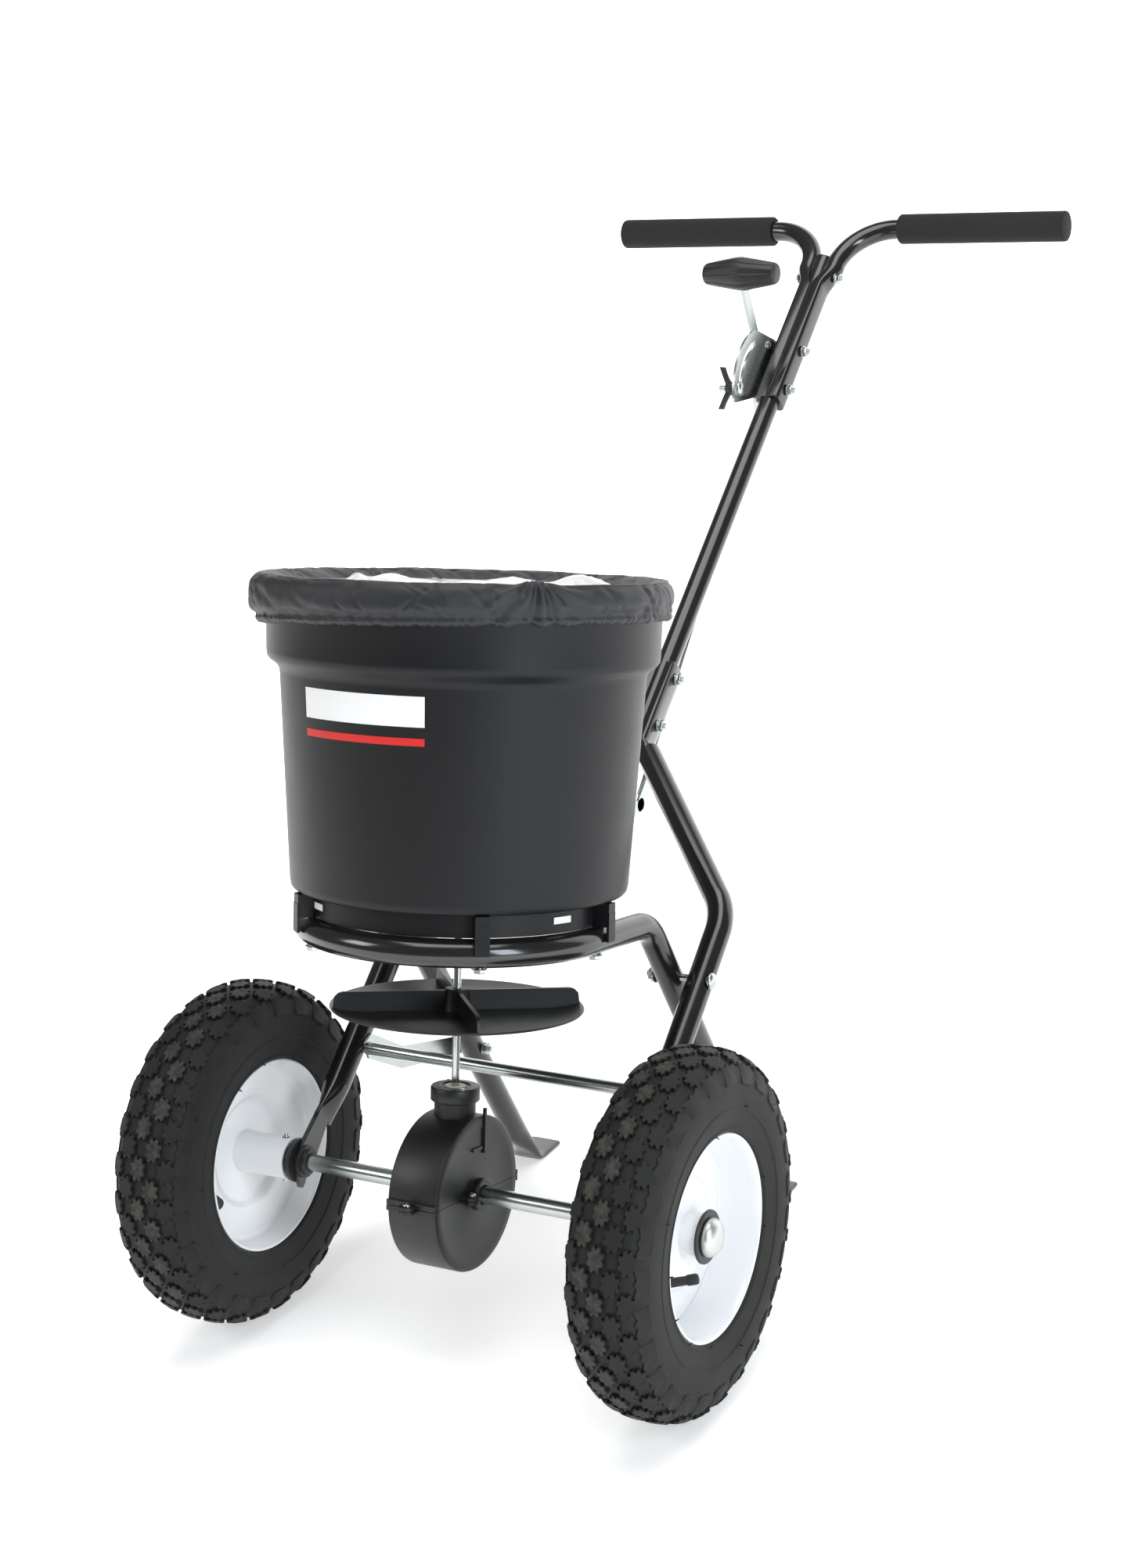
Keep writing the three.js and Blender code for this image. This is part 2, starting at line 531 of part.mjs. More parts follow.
// ---- control rod, its nut and the link that draws the shutter
const hook = vec([-26, ...armEnd]);
const rodTop = hook.clone().addScaledVector(HANDLE_UP, -16);
const nutAt = onHandle(2, -22, 34);
const rodLine = nutAt.clone().sub(rodTop).normalize();
const along = (from, distance) => from.clone().addScaledVector(rodLine, distance);
const pin = rodX(2.4, -27, -19.1, ...armEnd, 8);
put('control_rod', union([
  rodBetween(hook.toArray(), along(rodTop, 2).toArray(), 3, 12),
  rodBetween(rodTop.toArray(), along(nutAt, -1.6).toArray(), 3, 12),
  rodBetween(along(nutAt, -3).toArray(), along(nutAt, 42).toArray(), 2.4, 12),
  pin,
]), ZINC);
put('rod_nut', rodBetween(along(nutAt, 1.7).toArray(), along(nutAt, 7).toArray(), 5.4, 6)
  .subtract(rodBetween(along(nutAt, -20).toArray(), along(nutAt, 30).toArray(), 2.4 + 0.1, 16)), ZINC);
const SHUTTER_Z = 262.6;
const YOKE_Y = 196;
const linkPinZ = 276;
const tab = rodBetween(along(nutAt, -1.2).toArray(), along(nutAt, 1.5).toArray(), 12, 20);
const tabHole = rodBetween(along(nutAt, -20).toArray(), along(nutAt, 30).toArray(), 2.4 + GAP, 16);
const linkKnee = [nutAt.y - 34, nutAt.z - 40];
const linkX = [9, 11.4];
const linkPart = (from, to, half) => plateX(bar(from, to, half), ...linkX);
let link = union([
  tab,
  linkPart([nutAt.y + 2, nutAt.z + 4], linkKnee, 8),
  rodX(8, ...linkX, ...linkKnee, 20),
  linkPart(linkKnee, [YOKE_Y, linkPinZ], 6.5),
  rodX(6.5, ...linkX, YOKE_Y, linkPinZ, 16),
  rodX(2.5, -6, linkX[1], YOKE_Y, linkPinZ, 8),
]);
link = link.subtract(tabHole);
put('shutter_link', link, ZINC);

const yokeSlot = [[YOKE_Y - 3, 268.4], [YOKE_Y + 3, 268.4], [YOKE_Y + 3, 314], [YOKE_Y - 3, 314]];
const yoke = plateX([[YOKE_Y - 9, SHUTTER_Z], [YOKE_Y + 9, SHUTTER_Z], [YOKE_Y + 9, 320], [YOKE_Y - 9, 320]], -1, 1.4, [yokeSlot]);
const blade = box(62, 307, 1.6, [0, 51.5, SHUTTER_Z]);
const shaftSlot = box(11, 41, 4, [0, -14.5, SHUTTER_Z]);
const bladeWindow = box(46, 26, 4, [0, -81.5, SHUTTER_Z]);
put('shutter', union([blade.subtract(shaftSlot).subtract(bladeWindow), yoke]), ZINC);

// ---- hopper
const wall = 3.2;
const hopperProfile = [
  [5, 264.2], [64, 264.2], [118, BODY_Z], [147, BODY_Z], [152, 289], [163.6, STEP_Z],
  [174.5, STEP_Z + 12], [176.4, RIM_Z - 8], [179, RIM_Z - 7], [179, RIM_Z - 1], [172, RIM_Z - 1],
  [172.8, STEP_Z + 18], [160.4, STEP_Z], [148.8, 290], [118.4, 285], [63, 268], [5, 268],
];
let hopper = latheZ(hopperProfile, 36);
const skirt = rodZ(137, 260.1, BODY_Z + 1, 0, 0, 36).subtract(rodZ(133.8, 250, 300, 0, 0, 36));
const web = [];
for (const angle of LEG_ANGLES) {
  const outer = box(19, 13, 22, [143, 0, 271.1]);
  const lap = box(2.6, 13, 16, [151.9, 0, 255]);
  web.push(outer.add(lap).rotate([0, 0, angle]));
}
hopper = union([hopper, skirt, ...web]);
hopper = hopper.subtract(box(70, 60, 8, [0, 135, 262.4]));
for (const angle of WINDOW_ANGLES) hopper = hopper.subtract(box(20, 13, 7, [136, 0, 271.5]).rotate([0, 0, angle]));
hopper = hopper.subtract(box(46, 26, 10, [0, -53, 266]));
for (const side of [-1, 1]) {
  hopper = hopper.add(box(2.4, 200, 6.4, [side * 33, 0, 262]));
  hopper = hopper.add(box(6, 200, 1.6, [side * 31.2, 0, 259.8]));
}
for (const angle of LEG_ANGLES) {
  const x = RING_R * Math.cos(angle * DEG);
  const y = RING_R * Math.sin(angle * DEG);
  hopper = hopper.subtract(rodZ(3.1, 240, 275.4, x, y, 8));
  const place = ['front_right', 'front_left', 'side_right', 'side_left'][LEG_ANGLES.indexOf(angle)];
  put(`hopper_bolt_${place}`, union([
    rodZ(3, 232, 275, x, y, 8), rodZ(5.8, 229.4, 233.9, x, y, 6), rodZ(7, 233, 234, x, y, 18),
  ]), ZINC);
}
put('hopper', hopper, HOPPER_PLASTIC);

// ---- gathered rain cover with an elastic hem
const coverProfile = [
  [0, 563.4], [120, 563.8], [166, 565.6], [176, 565.4], [186, 560], [191.5, 550], [191.5, 538], [188, 528],
  [181.5, 522.5], [179.2, 523.4], [184.6, 531], [188.4, 540], [188.4, 549], [183.6, 557.6], [176, 562],
  [166, 562.2], [120, 560.4], [0, 560],
];
put('rain_cover', latheZ(coverProfile, 32), NYLON_CLOTH);

// ---- gearbox: two drum halves split at axle height, screwed together, and a neck cap
const EARS = [[0, -79], [0, 79], [32, -20]];
const NECK_TOP = 84;
const half = (up) => {
  let shell = rodX(DRUM_R, -DRUM_HALF, DRUM_HALF, 0, 0, 32);
  shell = shell.add(rodX(15, -33, 33, 0, 0, 28));
  if (up) shell = shell.add(rodZ(19, 60, NECK_TOP, 0, 0, 32));
  for (const [x, y] of EARS) {
    shell = shell.add(hull([rodZ(7.5, 0, up * 3.4, x, y, 12), rodZ(7.5, 0, up * 3.4, x * 0.7, y * 0.86, 12)]));
  }
  shell = shell.subtract(rodX(DRUM_R - 3, 3 - DRUM_HALF, DRUM_HALF - 3, 0, 0, 32));
  if (up) shell = shell.subtract(rodZ(15.6, 50, NECK_TOP + 2, 0, 0, 28));
  shell = shell.subtract(rodX(AXLE_R + GAP, -60, 60));
  for (const [x, y] of EARS) shell = shell.subtract(rodZ(1.9 + 0.1, -9, 9, x, y, 8));
  return shell.intersect(box(200, 200, 120, [0, 0, up * 60.15]));
};
const topHalf = half(1).add(box(3, 3, 36, [DRUM_HALF + 1, 10, 50]));
put('gearbox_top', topHalf, BLACK_PLASTIC);
put('gearbox_bottom', half(-1), BLACK_PLASTIC);
const screwNames = ['front', 'rear', 'side'];
EARS.forEach(([x, y], i) => {
  put(`gearbox_screw_${screwNames[i]}`, union([
    rodZ(1.9, -3.2, 4, x, y, 8), rodZ(3.8, 3.7, 6.4, x, y, 16, 2.6),
  ]), ZINC);
});
const cap = union([
  rodZ(22.5, NECK_TOP + GAP, 98, 0, 0, 36), rodZ(15.3, 70, NECK_TOP + 4, 0, 0, 28),
]).subtract(rodZ(SHAFT_R + GAP, 60, 110, 0, 0, 20));
put('gearbox_cap', cap, BLACK_PLASTIC);

// ---- gears, vertical shaft, spinner and agitator
const crownTeeth = [];
for (let i = 0; i < GEAR_TEETH; i += 1) {
  crownTeeth.push(box(5, 2.1, 15, [-9.1, 0, 52]).rotate([(360 * (i + 0.5)) / GEAR_TEETH, 0, 0]));
}
const crown = union([rodX(61, -15, -11, 0, 0, 48), rodX(14, -21.6, -11, 0, 0, 28), ...crownTeeth])
  .subtract(rodX(AXLE_R + 0.1, -40, 10));
put('drive_gear', crown, GEAR_NYLON);
const pinionTeeth = [];
for (let i = 0; i < PINION_TEETH; i += 1) {
  pinionTeeth.push(box(5.4, 2, 12, [7.7, 0, 52]).rotate([0, 0, (360 * i) / PINION_TEETH]));
}
const pinion = union([rodZ(5.6, 42, 62, 0, 0, 20), ...pinionTeeth]).subtract(rodZ(SHAFT_R + 0.1, 30, 70, 0, 0, 20));
put('pinion', pinion, GEAR_NYLON);
put('spinner_shaft', rodZ(SHAFT_R, 22, 292, 0, 0, 20), ZINC);
const dish = latheZ([
  [SHAFT_R + 0.1, 163], [12, 163], [12.5, 165.4], [88, 166], [113, 169.4], [115.6, 170.6], [115.6, 172.4],
  [112, 171.8], [88, 168.4], [12.5, 168], [11, 188], [SHAFT_R + 0.1, 188],
], 32);
const fins = [];
for (let i = 0; i < 4; i += 1) {
  const fin = new THREE.Shape([
    [10, 166.8], [10, 186], [108, 186], [112.6, 182], [113.6, 170.6], [88, 167.4],
  ].map(([r, z]) => new THREE.Vector2(r, z)));
  const geometry = new THREE.ExtrudeGeometry(fin, { depth: 2.4, bevelEnabled: false });
  geometry.translate(0, 0, -1.2);
  geometry.rotateX(90 * DEG);
  geometry.rotateZ((41 + 90 * i) * DEG);
  fins.push(solid(geometry));
}
put('spinner', union([dish, ...fins]), BLACK_PLASTIC);
const fingers = box(96, 5, 2.6, [0, 0, 277]);
const agitator = union([rodZ(9, 273, 283, 0, 0, 24), fingers]).subtract(rodZ(SHAFT_R + 0.1, 260, 300, 0, 0, 20));
put('agitator', agitator, GEAR_NYLON);

machine.rotation.x = -PARK_TILT;
machine.position.z = TYRE_R;
const part = new THREE.Group();
part.add(machine);
part.updateMatrixWorld(true);
const extent = new THREE.Box3().setFromObject(part, true);
machine.position.y = -(extent.min.y + extent.max.y) / 2;
machine.position.z -= extent.min.z;

export default part;
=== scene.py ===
"""Garden spreader: the looks of each piece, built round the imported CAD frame.

Shapes are laid out in millimetres about the axle's centre, with the hopper upright:
X to the machine's right, Y to the back, Z up. MACHINE then tilts and places them."""
import bpy
import json
import math
import random
from mathutils import Matrix, Vector, noise
from mathutils.geometry import tessellate_polygon


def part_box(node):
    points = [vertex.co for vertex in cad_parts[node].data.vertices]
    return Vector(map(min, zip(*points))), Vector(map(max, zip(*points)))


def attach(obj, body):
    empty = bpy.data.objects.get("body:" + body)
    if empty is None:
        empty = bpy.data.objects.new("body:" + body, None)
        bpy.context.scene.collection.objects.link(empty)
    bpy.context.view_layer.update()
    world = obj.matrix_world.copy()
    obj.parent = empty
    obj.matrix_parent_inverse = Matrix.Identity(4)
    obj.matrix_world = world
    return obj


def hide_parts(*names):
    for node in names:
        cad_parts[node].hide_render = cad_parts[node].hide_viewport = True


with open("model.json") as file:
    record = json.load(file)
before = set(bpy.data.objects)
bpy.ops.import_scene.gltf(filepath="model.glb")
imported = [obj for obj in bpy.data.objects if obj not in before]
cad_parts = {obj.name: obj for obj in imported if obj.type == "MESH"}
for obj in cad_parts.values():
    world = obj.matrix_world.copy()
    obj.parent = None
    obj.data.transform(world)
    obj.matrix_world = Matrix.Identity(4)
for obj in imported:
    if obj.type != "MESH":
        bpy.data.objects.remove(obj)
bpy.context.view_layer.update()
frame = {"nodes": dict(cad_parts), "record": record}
rng = random.Random(7)
SLOTS = {part["node"]: part["material_slot"] for part in frame["record"]["subparts"]}

TILT = math.radians(12.7)
axle_low, axle_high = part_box("axle")
MACHINE = (
    Matrix.Translation((axle_low + axle_high) / 2)
    @ Matrix.Rotation(-TILT, 4, "X")
    @ Matrix.Scale(0.001, 4)
)
X, Y, Z = Vector((1, 0, 0)), Vector((0, 1, 0)), Vector((0, 0, 1))


# ---------------------------------------------------------------- materials
def material(
    name,
    colour,
    rough,
    metal=0.0,
    mottle=0.0,
    grain=0.0,
    bump=0.0,
    bump_scale=800,
    coat=0.0,
    shine=0.5,
):
    """A principled material whose colour and roughness wander, with a fine real-scale bump."""
    made = bpy.data.materials.new(name)
    made.use_nodes = True
    nodes, links = made.node_tree.nodes, made.node_tree.links
    shader = nodes["Principled BSDF"]
    shader.inputs["Metallic"].default_value = metal
    shader.inputs["Specular IOR Level"].default_value = shine
    shader.inputs["Coat Weight"].default_value = coat
    shader.inputs["Coat Roughness"].default_value = 0.12
    where = nodes.new("ShaderNodeTexCoord")
    cloud = nodes.new("ShaderNodeTexNoise")
    cloud.inputs["Scale"].default_value = 22
    cloud.inputs["Detail"].default_value = 6
    links.new(where.outputs["Object"], cloud.inputs["Vector"])
    tint = nodes.new("ShaderNodeMix")
    tint.data_type = "RGBA"
    tint.inputs["A"].default_value = (*[c * (1 - mottle) for c in colour], 1)
    tint.inputs["B"].default_value = (*[min(c * (1 + mottle), 1) for c in colour], 1)
    links.new(cloud.outputs["Fac"], tint.inputs["Factor"])
    links.new(tint.outputs["Result"], shader.inputs["Base Color"])
    spread = nodes.new("ShaderNodeMapRange")
    spread.inputs["To Min"].default_value = max(rough - grain, 0.02)
    spread.inputs["To Max"].default_value = min(rough + grain, 1)
    links.new(cloud.outputs["Fac"], spread.inputs["Value"])
    links.new(spread.outputs["Result"], shader.inputs["Roughness"])
    fine = nodes.new("ShaderNodeTexNoise")
    fine.inputs["Scale"].default_value = bump_scale
    fine.inputs["Detail"].default_value = 3
    links.new(where.outputs["Object"], fine.inputs["Vector"])
    relief = nodes.new("ShaderNodeBump")
    relief.inputs["Strength"].default_value = bump
    relief.inputs["Distance"].default_value = 0.0004
    links.new(fine.outputs["Fac"], relief.inputs["Height"])
    links.new(relief.outputs["Normal"], shader.inputs["Normal"])
    return made


BLACK_PAINT = material(
    "black_paint",
    (0.011, 0.0108, 0.0105),
    0.2,
    mottle=0.1,
    grain=0.05,
    bump=0.05,
    bump_scale=260,
    coat=0.5,
)
ZINC = material(
    "zinc_plate",
    (0.5, 0.54, 0.51),
    0.24,
    metal=1,
    mottle=0.12,
    grain=0.1,
    bump=0.08,
    bump_scale=900,
)
DOME_ZINC = material(
    "dome_zinc",
    (0.6, 0.6, 0.59),
    0.36,
    metal=1,
    mottle=0.3,
    grain=0.14,
    bump=0.12,
    bump_scale=500,
)
WHITE_PAINT = material(
    "white_paint",
    (0.83, 0.84, 0.85),
    0.22,
    mottle=0.015,
    grain=0.05,
    bump=0.04,
    bump_scale=220,
    coat=0.3,
)
TYRE = material(
    "tyre_rubber",
    (0.0125, 0.0123, 0.012),
    0.66,
    mottle=0.2,
    grain=0.12,
    bump=0.35,
    bump_scale=900,
    shine=0.3,
)
# black rubber for the valves, and also the painted shade of the hub's pin holes
RUBBER_AND_HOLE_SHADE = material("valve_rubber", (0.016, 0.016, 0.016), 0.6, mottle=0.1, grain=0.08, bump=0.2)
HOPPER = material(
    "hopper_plastic",
    (0.006, 0.0063, 0.0072),
    0.4,
    mottle=0.12,
    grain=0.05,
    bump=0.12,
    bump_scale=1400,
    shine=0.28,
)
PLASTIC = material(
    "black_plastic",
    (0.013, 0.013, 0.0135),
    0.42,
    mottle=0.1,
    grain=0.07,
    bump=0.2,
    bump_scale=1500,
)
FOAM = material(
    "grip_foam",
    (0.014, 0.014, 0.014),
    0.92,
    mottle=0.15,
    grain=0.04,
    bump=0.6,
    bump_scale=1300,
)
NYLON = material("gear_nylon", (0.72, 0.68, 0.58), 0.5, mottle=0.05, grain=0.05, bump=0.1)
# white for the printed label, and also for the patches of painted light on the hopper's skirt
PRINT_AND_PAINTED_LIGHT_WHITE = material("print_and_painted_light_white", (0.86, 0.86, 0.86), 0.4, mottle=0.01, grain=0.03, bump=0.03)
LABEL_RED = material("label_red", (0.62, 0.02, 0.015), 0.4, mottle=0.03, grain=0.03, bump=0.03)


def dusty(name, clean, dust):
    """Rubber with dry dust rubbed on in patches."""
    made = clean.copy()
    made.name = name
    nodes, links = made.node_tree.nodes, made.node_tree.links
    shader = nodes["Principled BSDF"]
    patches = nodes.new("ShaderNodeTexNoise")
    patches.inputs["Scale"].default_value = 150
    patches.inputs["Detail"].default_value = 8
    patches.inputs["Roughness"].default_value = 0.7
    links.new(nodes["Texture Coordinate"].outputs["Object"], patches.inputs["Vector"])
    ramp = nodes.new("ShaderNodeMapRange")
    ramp.inputs["From Min"].default_value = 0.36
    ramp.inputs["From Max"].default_value = 0.66
    links.new(patches.outputs["Fac"], ramp.inputs["Value"])
    mix = nodes.new("ShaderNodeMix")
    mix.data_type = "RGBA"
    links.new(ramp.outputs["Result"], mix.inputs["Factor"])
    links.new(shader.inputs["Base Color"].links[0].from_socket, mix.inputs["A"])
    mix.inputs["B"].default_value = (*dust, 1)
    links.new(mix.outputs["Result"], shader.inputs["Base Color"])
    return made


DUSTY_TYRE = dusty("tyre_dust", TYRE, (0.062, 0.054, 0.044))


def woven(name, colour, rough, thread):
    """Plain-weave nylon: two crossed thread waves give the bump."""
    made = material(name, colour, rough, mottle=0.15, grain=0.06)
    nodes, links = made.node_tree.nodes, made.node_tree.links
    shader = nodes["Principled BSDF"]
    shader.inputs["Sheen Weight"].default_value = 0.05
    shader.inputs["Sheen Roughness"].default_value = 0.4
    height = None
    for direction in ("X", "Y"):
        wave = nodes.new("ShaderNodeTexWave")
        wave.bands_direction = direction
        wave.inputs["Scale"].default_value = 0.314 / thread
        wave.inputs["Distortion"].default_value = 0.4
        links.new(nodes["Texture Coordinate"].outputs["Object"], wave.inputs["Vector"])
        if height is None:
            height = wave.outputs["Fac"]
        else:
            both = nodes.new("ShaderNodeMath")
            both.operation = "MAXIMUM"
            links.new(height, both.inputs[0])
            links.new(wave.outputs["Fac"], both.inputs[1])
            height = both.outputs["Value"]
    relief = nodes["Bump"]
    relief.inputs["Strength"].default_value = 0.35
    relief.inputs["Distance"].default_value = 0.0002
    links.new(height, relief.inputs["Height"])
    return made


CLOTH = woven("nylon_cloth", (0.0115, 0.012, 0.014), 0.5, 0.0006)
VINYL = material(
    "clear_vinyl",
    (0.6, 0.6, 0.58),
    0.25,
    mottle=0.06,
    grain=0.08,
    bump=0.2,
    bump_scale=160,
    coat=0.4,
)
VINYL.node_tree.nodes["Principled BSDF"].inputs["Transmission Weight"].default_value = 0.35


# ---------------------------------------------------------------- shapes
def new_object(name, points, faces, paints):
    mesh = bpy.data.meshes.new(name)
    mesh.from_pydata(points, [], faces)
    for paint in paints:
        mesh.materials.append(paint)
    obj = bpy.data.objects.new(name, mesh)
    bpy.context.scene.collection.objects.link(obj)
    return obj


class Shape:
    """Points and faces in millimetres about the axle; each face has a paint."""

    def __init__(self):
        self.points, self.faces, self.slots = [], [], []

    def add(self, geometry, place=None, slot=0):
        points, faces = geometry
        base = len(self.points)
        self.points += [place @ p if place else p for p in points]
        self.faces += [[base + i for i in f] for f in faces]
        self.slots += [slot] * len(faces)
        return self

    def piece(self, name, body, nodes, paints, bevel=0.8, angle=40):
        """One finished object that rides a body and stands for the CAD nodes."""
        obj = new_object(name, [MACHINE @ p for p in self.points], self.faces, paints)
        mesh = obj.data
        mesh.validate()
        mesh.polygons.foreach_set("material_index", self.slots[: len(mesh.polygons)])
        mesh.polygons.foreach_set("use_smooth", [True] * len(mesh.polygons))
        mesh.set_sharp_from_angle(angle=math.radians(angle))
        if bevel:
            soft = obj.modifiers.new("soft_edges", "BEVEL")
            soft.width = bevel / 1000
            soft.segments = 2
            soft.angle_limit = math.radians(angle)
            soft.harden_normals = True
        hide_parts(*nodes)
        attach(obj, body)


def placed(at, axis=Z, roll=0.0):
    """Local Z along axis, at a point."""
    turn = Vector(axis).to_track_quat("Z", "Y").to_matrix().to_4x4()
    return Matrix.Translation(at) @ turn @ Matrix.Rotation(roll, 4, "Z")


def loft(rings):
    """Skin over rings that have the same number of points, closed at both ends."""
    count = len(rings[0])
    points = [Vector(p) for ring in rings for p in ring]
    faces = []
    for k in range(len(rings) - 1):
        for i in range(count):
            j = (i + 1) % count
            faces.append((k * count + i, k * count + j, (k + 1) * count + j, (k + 1) * count + i))
    faces.append(tuple(range(count))[::-1])
    faces.append(tuple(range((len(rings) - 1) * count, len(rings) * count)))
    return points, faces


def lathe(profile, segments=96, closed=True):
    """A profile of (radius, height) pairs turned about Z."""
    points, faces, rows = [], [], []
    for r, h in profile:
        if r < 1e-6:
            rows.append([len(points)] * segments)
            points.append(Vector((0, 0, h)))
        else:
            rows.append([len(points) + i for i in range(segments)])
            for i in range(segments):
                a = 2 * math.pi * i / segments
                points.append(Vector((r * math.cos(a), r * math.sin(a), h)))
    pairs = list(zip(rows, rows[1:]))
    if closed and profile[0][0] > 1e-6 and profile[-1][0] > 1e-6:
        pairs.append((rows[-1], rows[0]))
    for a, b in pairs:
        for i in range(segments):
            j = (i + 1) % segments
            face = [a[i], a[j], b[j], b[i]]
            face = [p for n, p in enumerate(face) if p not in face[:n]]
            if len(face) > 2:
                faces.append(tuple(face))
    return points, faces


def rod(radius, length, segments=32):
    """A round bar up Z from the origin."""
    return lathe([(0, 0), (radius, 0), (radius, length), (0, length)], segments)


def block(sx, sy, sz):
    """A box about the origin."""
    signs = (-0.5, 0.5)
    corners = [Vector((x * sx, y * sy, z * sz)) for x in signs for y in signs for z in signs]
    return corners, [(0, 1, 3, 2), (4, 6, 7, 5), (0, 4, 5, 1), (2, 3, 7, 6), (0, 2, 6, 4), (1, 5, 7, 3)]


def plate(outline, x0, x1, holes=()):
    """A flat plate across X whose outline and holes are (y, z) pairs."""
    loops = [[Vector((y, z, 0)) for y, z in loop] for loop in (outline, *holes)]
    flat = [p for loop in loops for p in loop]
    count = len(flat)
    points = [Vector((x, p.x, p.y)) for x in (x0, x1) for p in flat]
    faces = []
    for tri in tessellate_polygon(loops):
        faces += [tuple(tri), tuple(i + count for i in reversed(tri))]
    start = 0
    for loop in loops:
        for i in range(len(loop)):
            a, b = start + i, start + (i + 1) % len(loop)
            faces.append((a, b, b + count, a + count))
        start += len(loop)
    return points, faces


def bend(corners, radii, steps=14):
    """Straight runs joined by round bends."""
    path = [Vector(corners[0])]
    for i in range(1, len(corners) - 1):
        corner = Vector(corners[i])
        back = (Vector(corners[i - 1]) - corner).normalized()
        on = (Vector(corners[i + 1]) - corner).normalized()
        half = back.angle(on) / 2
        reach = radii[i - 1] / math.tan(half)
        centre = corner + (back + on).normalized() * (radii[i - 1] / math.sin(half))
        start, end = corner + back * reach - centre, corner + on * reach - centre
        for k in range(steps + 1):
            path.append(centre + start.slerp(end, k / steps).normalized() * radii[i - 1])
    path.append(Vector(corners[-1]))
    return path


def sweep(path, radius, sides=28):
    """A round tube along a path."""
    rings, side = [], None
    for k, p in enumerate(path):
        run = (path[min(k + 1, len(path) - 1)] - path[max(k - 1, 0)]).normalized()
        if side is None:
            side = run.orthogonal().normalized()
        side = (side - run * side.dot(run)).normalized()
        other = run.cross(side)
        ring = []
        for i in range(sides):
            a = 2 * math.pi * i / sides
            ring.append(p + side * (radius * math.cos(a)) + other * (radius * math.sin(a)))
        rings.append(ring)
    return loft(rings)


def flattened(path, sizes, across, sides=32):
    """A loft whose section is a rounded oblong of half sizes (across, thick) at each point."""
    rings = []
    for k, p in enumerate(path):
        run = (path[min(k + 1, len(path) - 1)] - path[max(k - 1, 0)]).normalized()
        side = (across - run * across.dot(run)).normalized()
        other = run.cross(side)
        wide, thick, power = sizes[k]
        ring = []
        for i in range(sides):
            a = 2 * math.pi * i / sides
            c, s = math.cos(a), math.sin(a)
            u = math.copysign(abs(c) ** power, c) * wide
            v = math.copysign(abs(s) ** power, s) * thick
            ring.append(p + side * u + other * v)
        rings.append(ring)
    return loft(rings)


def arc(centre, radius, start, end, steps):
    """(y, z) points round a centre, angles in degrees from +Y."""
    turn = [math.radians(start + (end - start) * i / steps) for i in range(steps + 1)]
    return [(centre[0] + radius * math.cos(a), centre[1] + radius * math.sin(a)) for a in turn]


def strip(a, b, half, steps=8):
    """A round-ended strip outline between two (y, z) points."""
    turn = math.degrees(math.atan2(b[1] - a[1], b[0] - a[0]))
    return arc(b, half, turn - 90, turn + 90, steps) + arc(a, half, turn + 90, turn + 270, steps)


HANDLE_BASE = Vector((0, 352.5, 399.6))
HANDLE_UP = Vector((0, 0.6414, 0.7672)).normalized()
HANDLE_BACK = Vector((0, 0.7672, -0.6414)).normalized()
HANDLE_R = 11.1
TUBE_R = 12.7
LOWER_BOLTS = (0, 58)
UPPER_BOLTS = (447.6, 503.7, 613)


def on_handle(x, up, back=0.0):
    """A point beside the handle tube's axis, up along it and back square to it."""
    return HANDLE_BASE + HANDLE_UP * up + HANDLE_BACK * back + X * x


def bolt(at, axis, grip, radius, tail=9.0):
    """A domed head at a point, with a washer, a nut and the thread's end beyond the grip."""
    s = Shape()
    dome = [
        (0, -3.9), (radius * 1.1, -3.6), (radius * 1.75, -2.4), (radius * 2.0, -0.9),
        (radius * 2.0, 0), (0, 0),
    ]
    s.add(lathe(dome, 40), placed(at, axis))
    end = Vector(at) + Vector(axis) * grip
    s.add(rod(radius, grip + 1.0, 20), placed(at, axis))
    s.add(lathe([(0, 0), (radius * 2.1, 0), (radius * 2.1, 1.3), (0, 1.3)], 40), placed(end, axis))
    nut = [
        (0, 1.3), (radius * 1.9, 1.3), (radius * 2.0, 1.8), (radius * 2.0, 5.4), (radius * 1.75, 6.3),
        (0, 6.3),
    ]
    s.add(lathe(nut, 6), placed(end, axis, rng.random()))
    thread = [(0, 0)]
    for rise in range(int(tail)):
        thread += [(radius * 0.86, rise), (radius, rise + 0.5)]
    thread += [(radius * 0.8, tail), (0, tail)]
    s.add(lathe(thread, 20), placed(end, axis))
    return s


# ---------------------------------------------------------------- wheels
TRACK = 235.6  # half of it: a wheel's centre to the machine's
HUB_OUT = 257
CAP_IN = 260.5
AXLE_END = 262
DRIVE_PIN_X = -187
BUSHING_X = 164
CROWN = [
    (0, 161.0), (9, 160.7), (17, 159.6), (24, 157.2), (29.5, 153.6), (33.6, 148.4), (36.2, 142),
    (37.4, 134),
]
SIDEWALL = [
    (38, 127), (37.9, 119), (37.5, 115.2), (38.1, 114.2), (37.1, 113), (36.4, 107), (35.2, 101),
    (34.6, 97.4), (35.2, 96.2), (34.8, 94.6), (33, 92.6), (30, 91.6),
]
PITCHES = 27
ROWS = (13.4, 26.6)  # of the tread's blocks, mm across the crown from its centre row
LUGS = 41.0  # the shoulder's row


def crown_point(across, around, rise):
    """A point over the tread: distance across the crown, angle round it, height above it."""
    sign = math.copysign(1, across)
    left = abs(across)
    for (x0, r0), (x1, r1) in zip(CROWN, CROWN[1:]):
        length = math.hypot(x1 - x0, r1 - r0)
        if left <= length or (x1, r1) == CROWN[-1]:
            break
        left -= length
    t = left / length
    x, r = x0 + (x1 - x0) * t, r0 + (r1 - r0) * t
    nx, nr = (r0 - r1) / length, (x1 - x0) / length
    x, r = x + nx * rise, r + nr * rise
    return Vector((sign * x, r * math.cos(around), r * math.sin(around)))


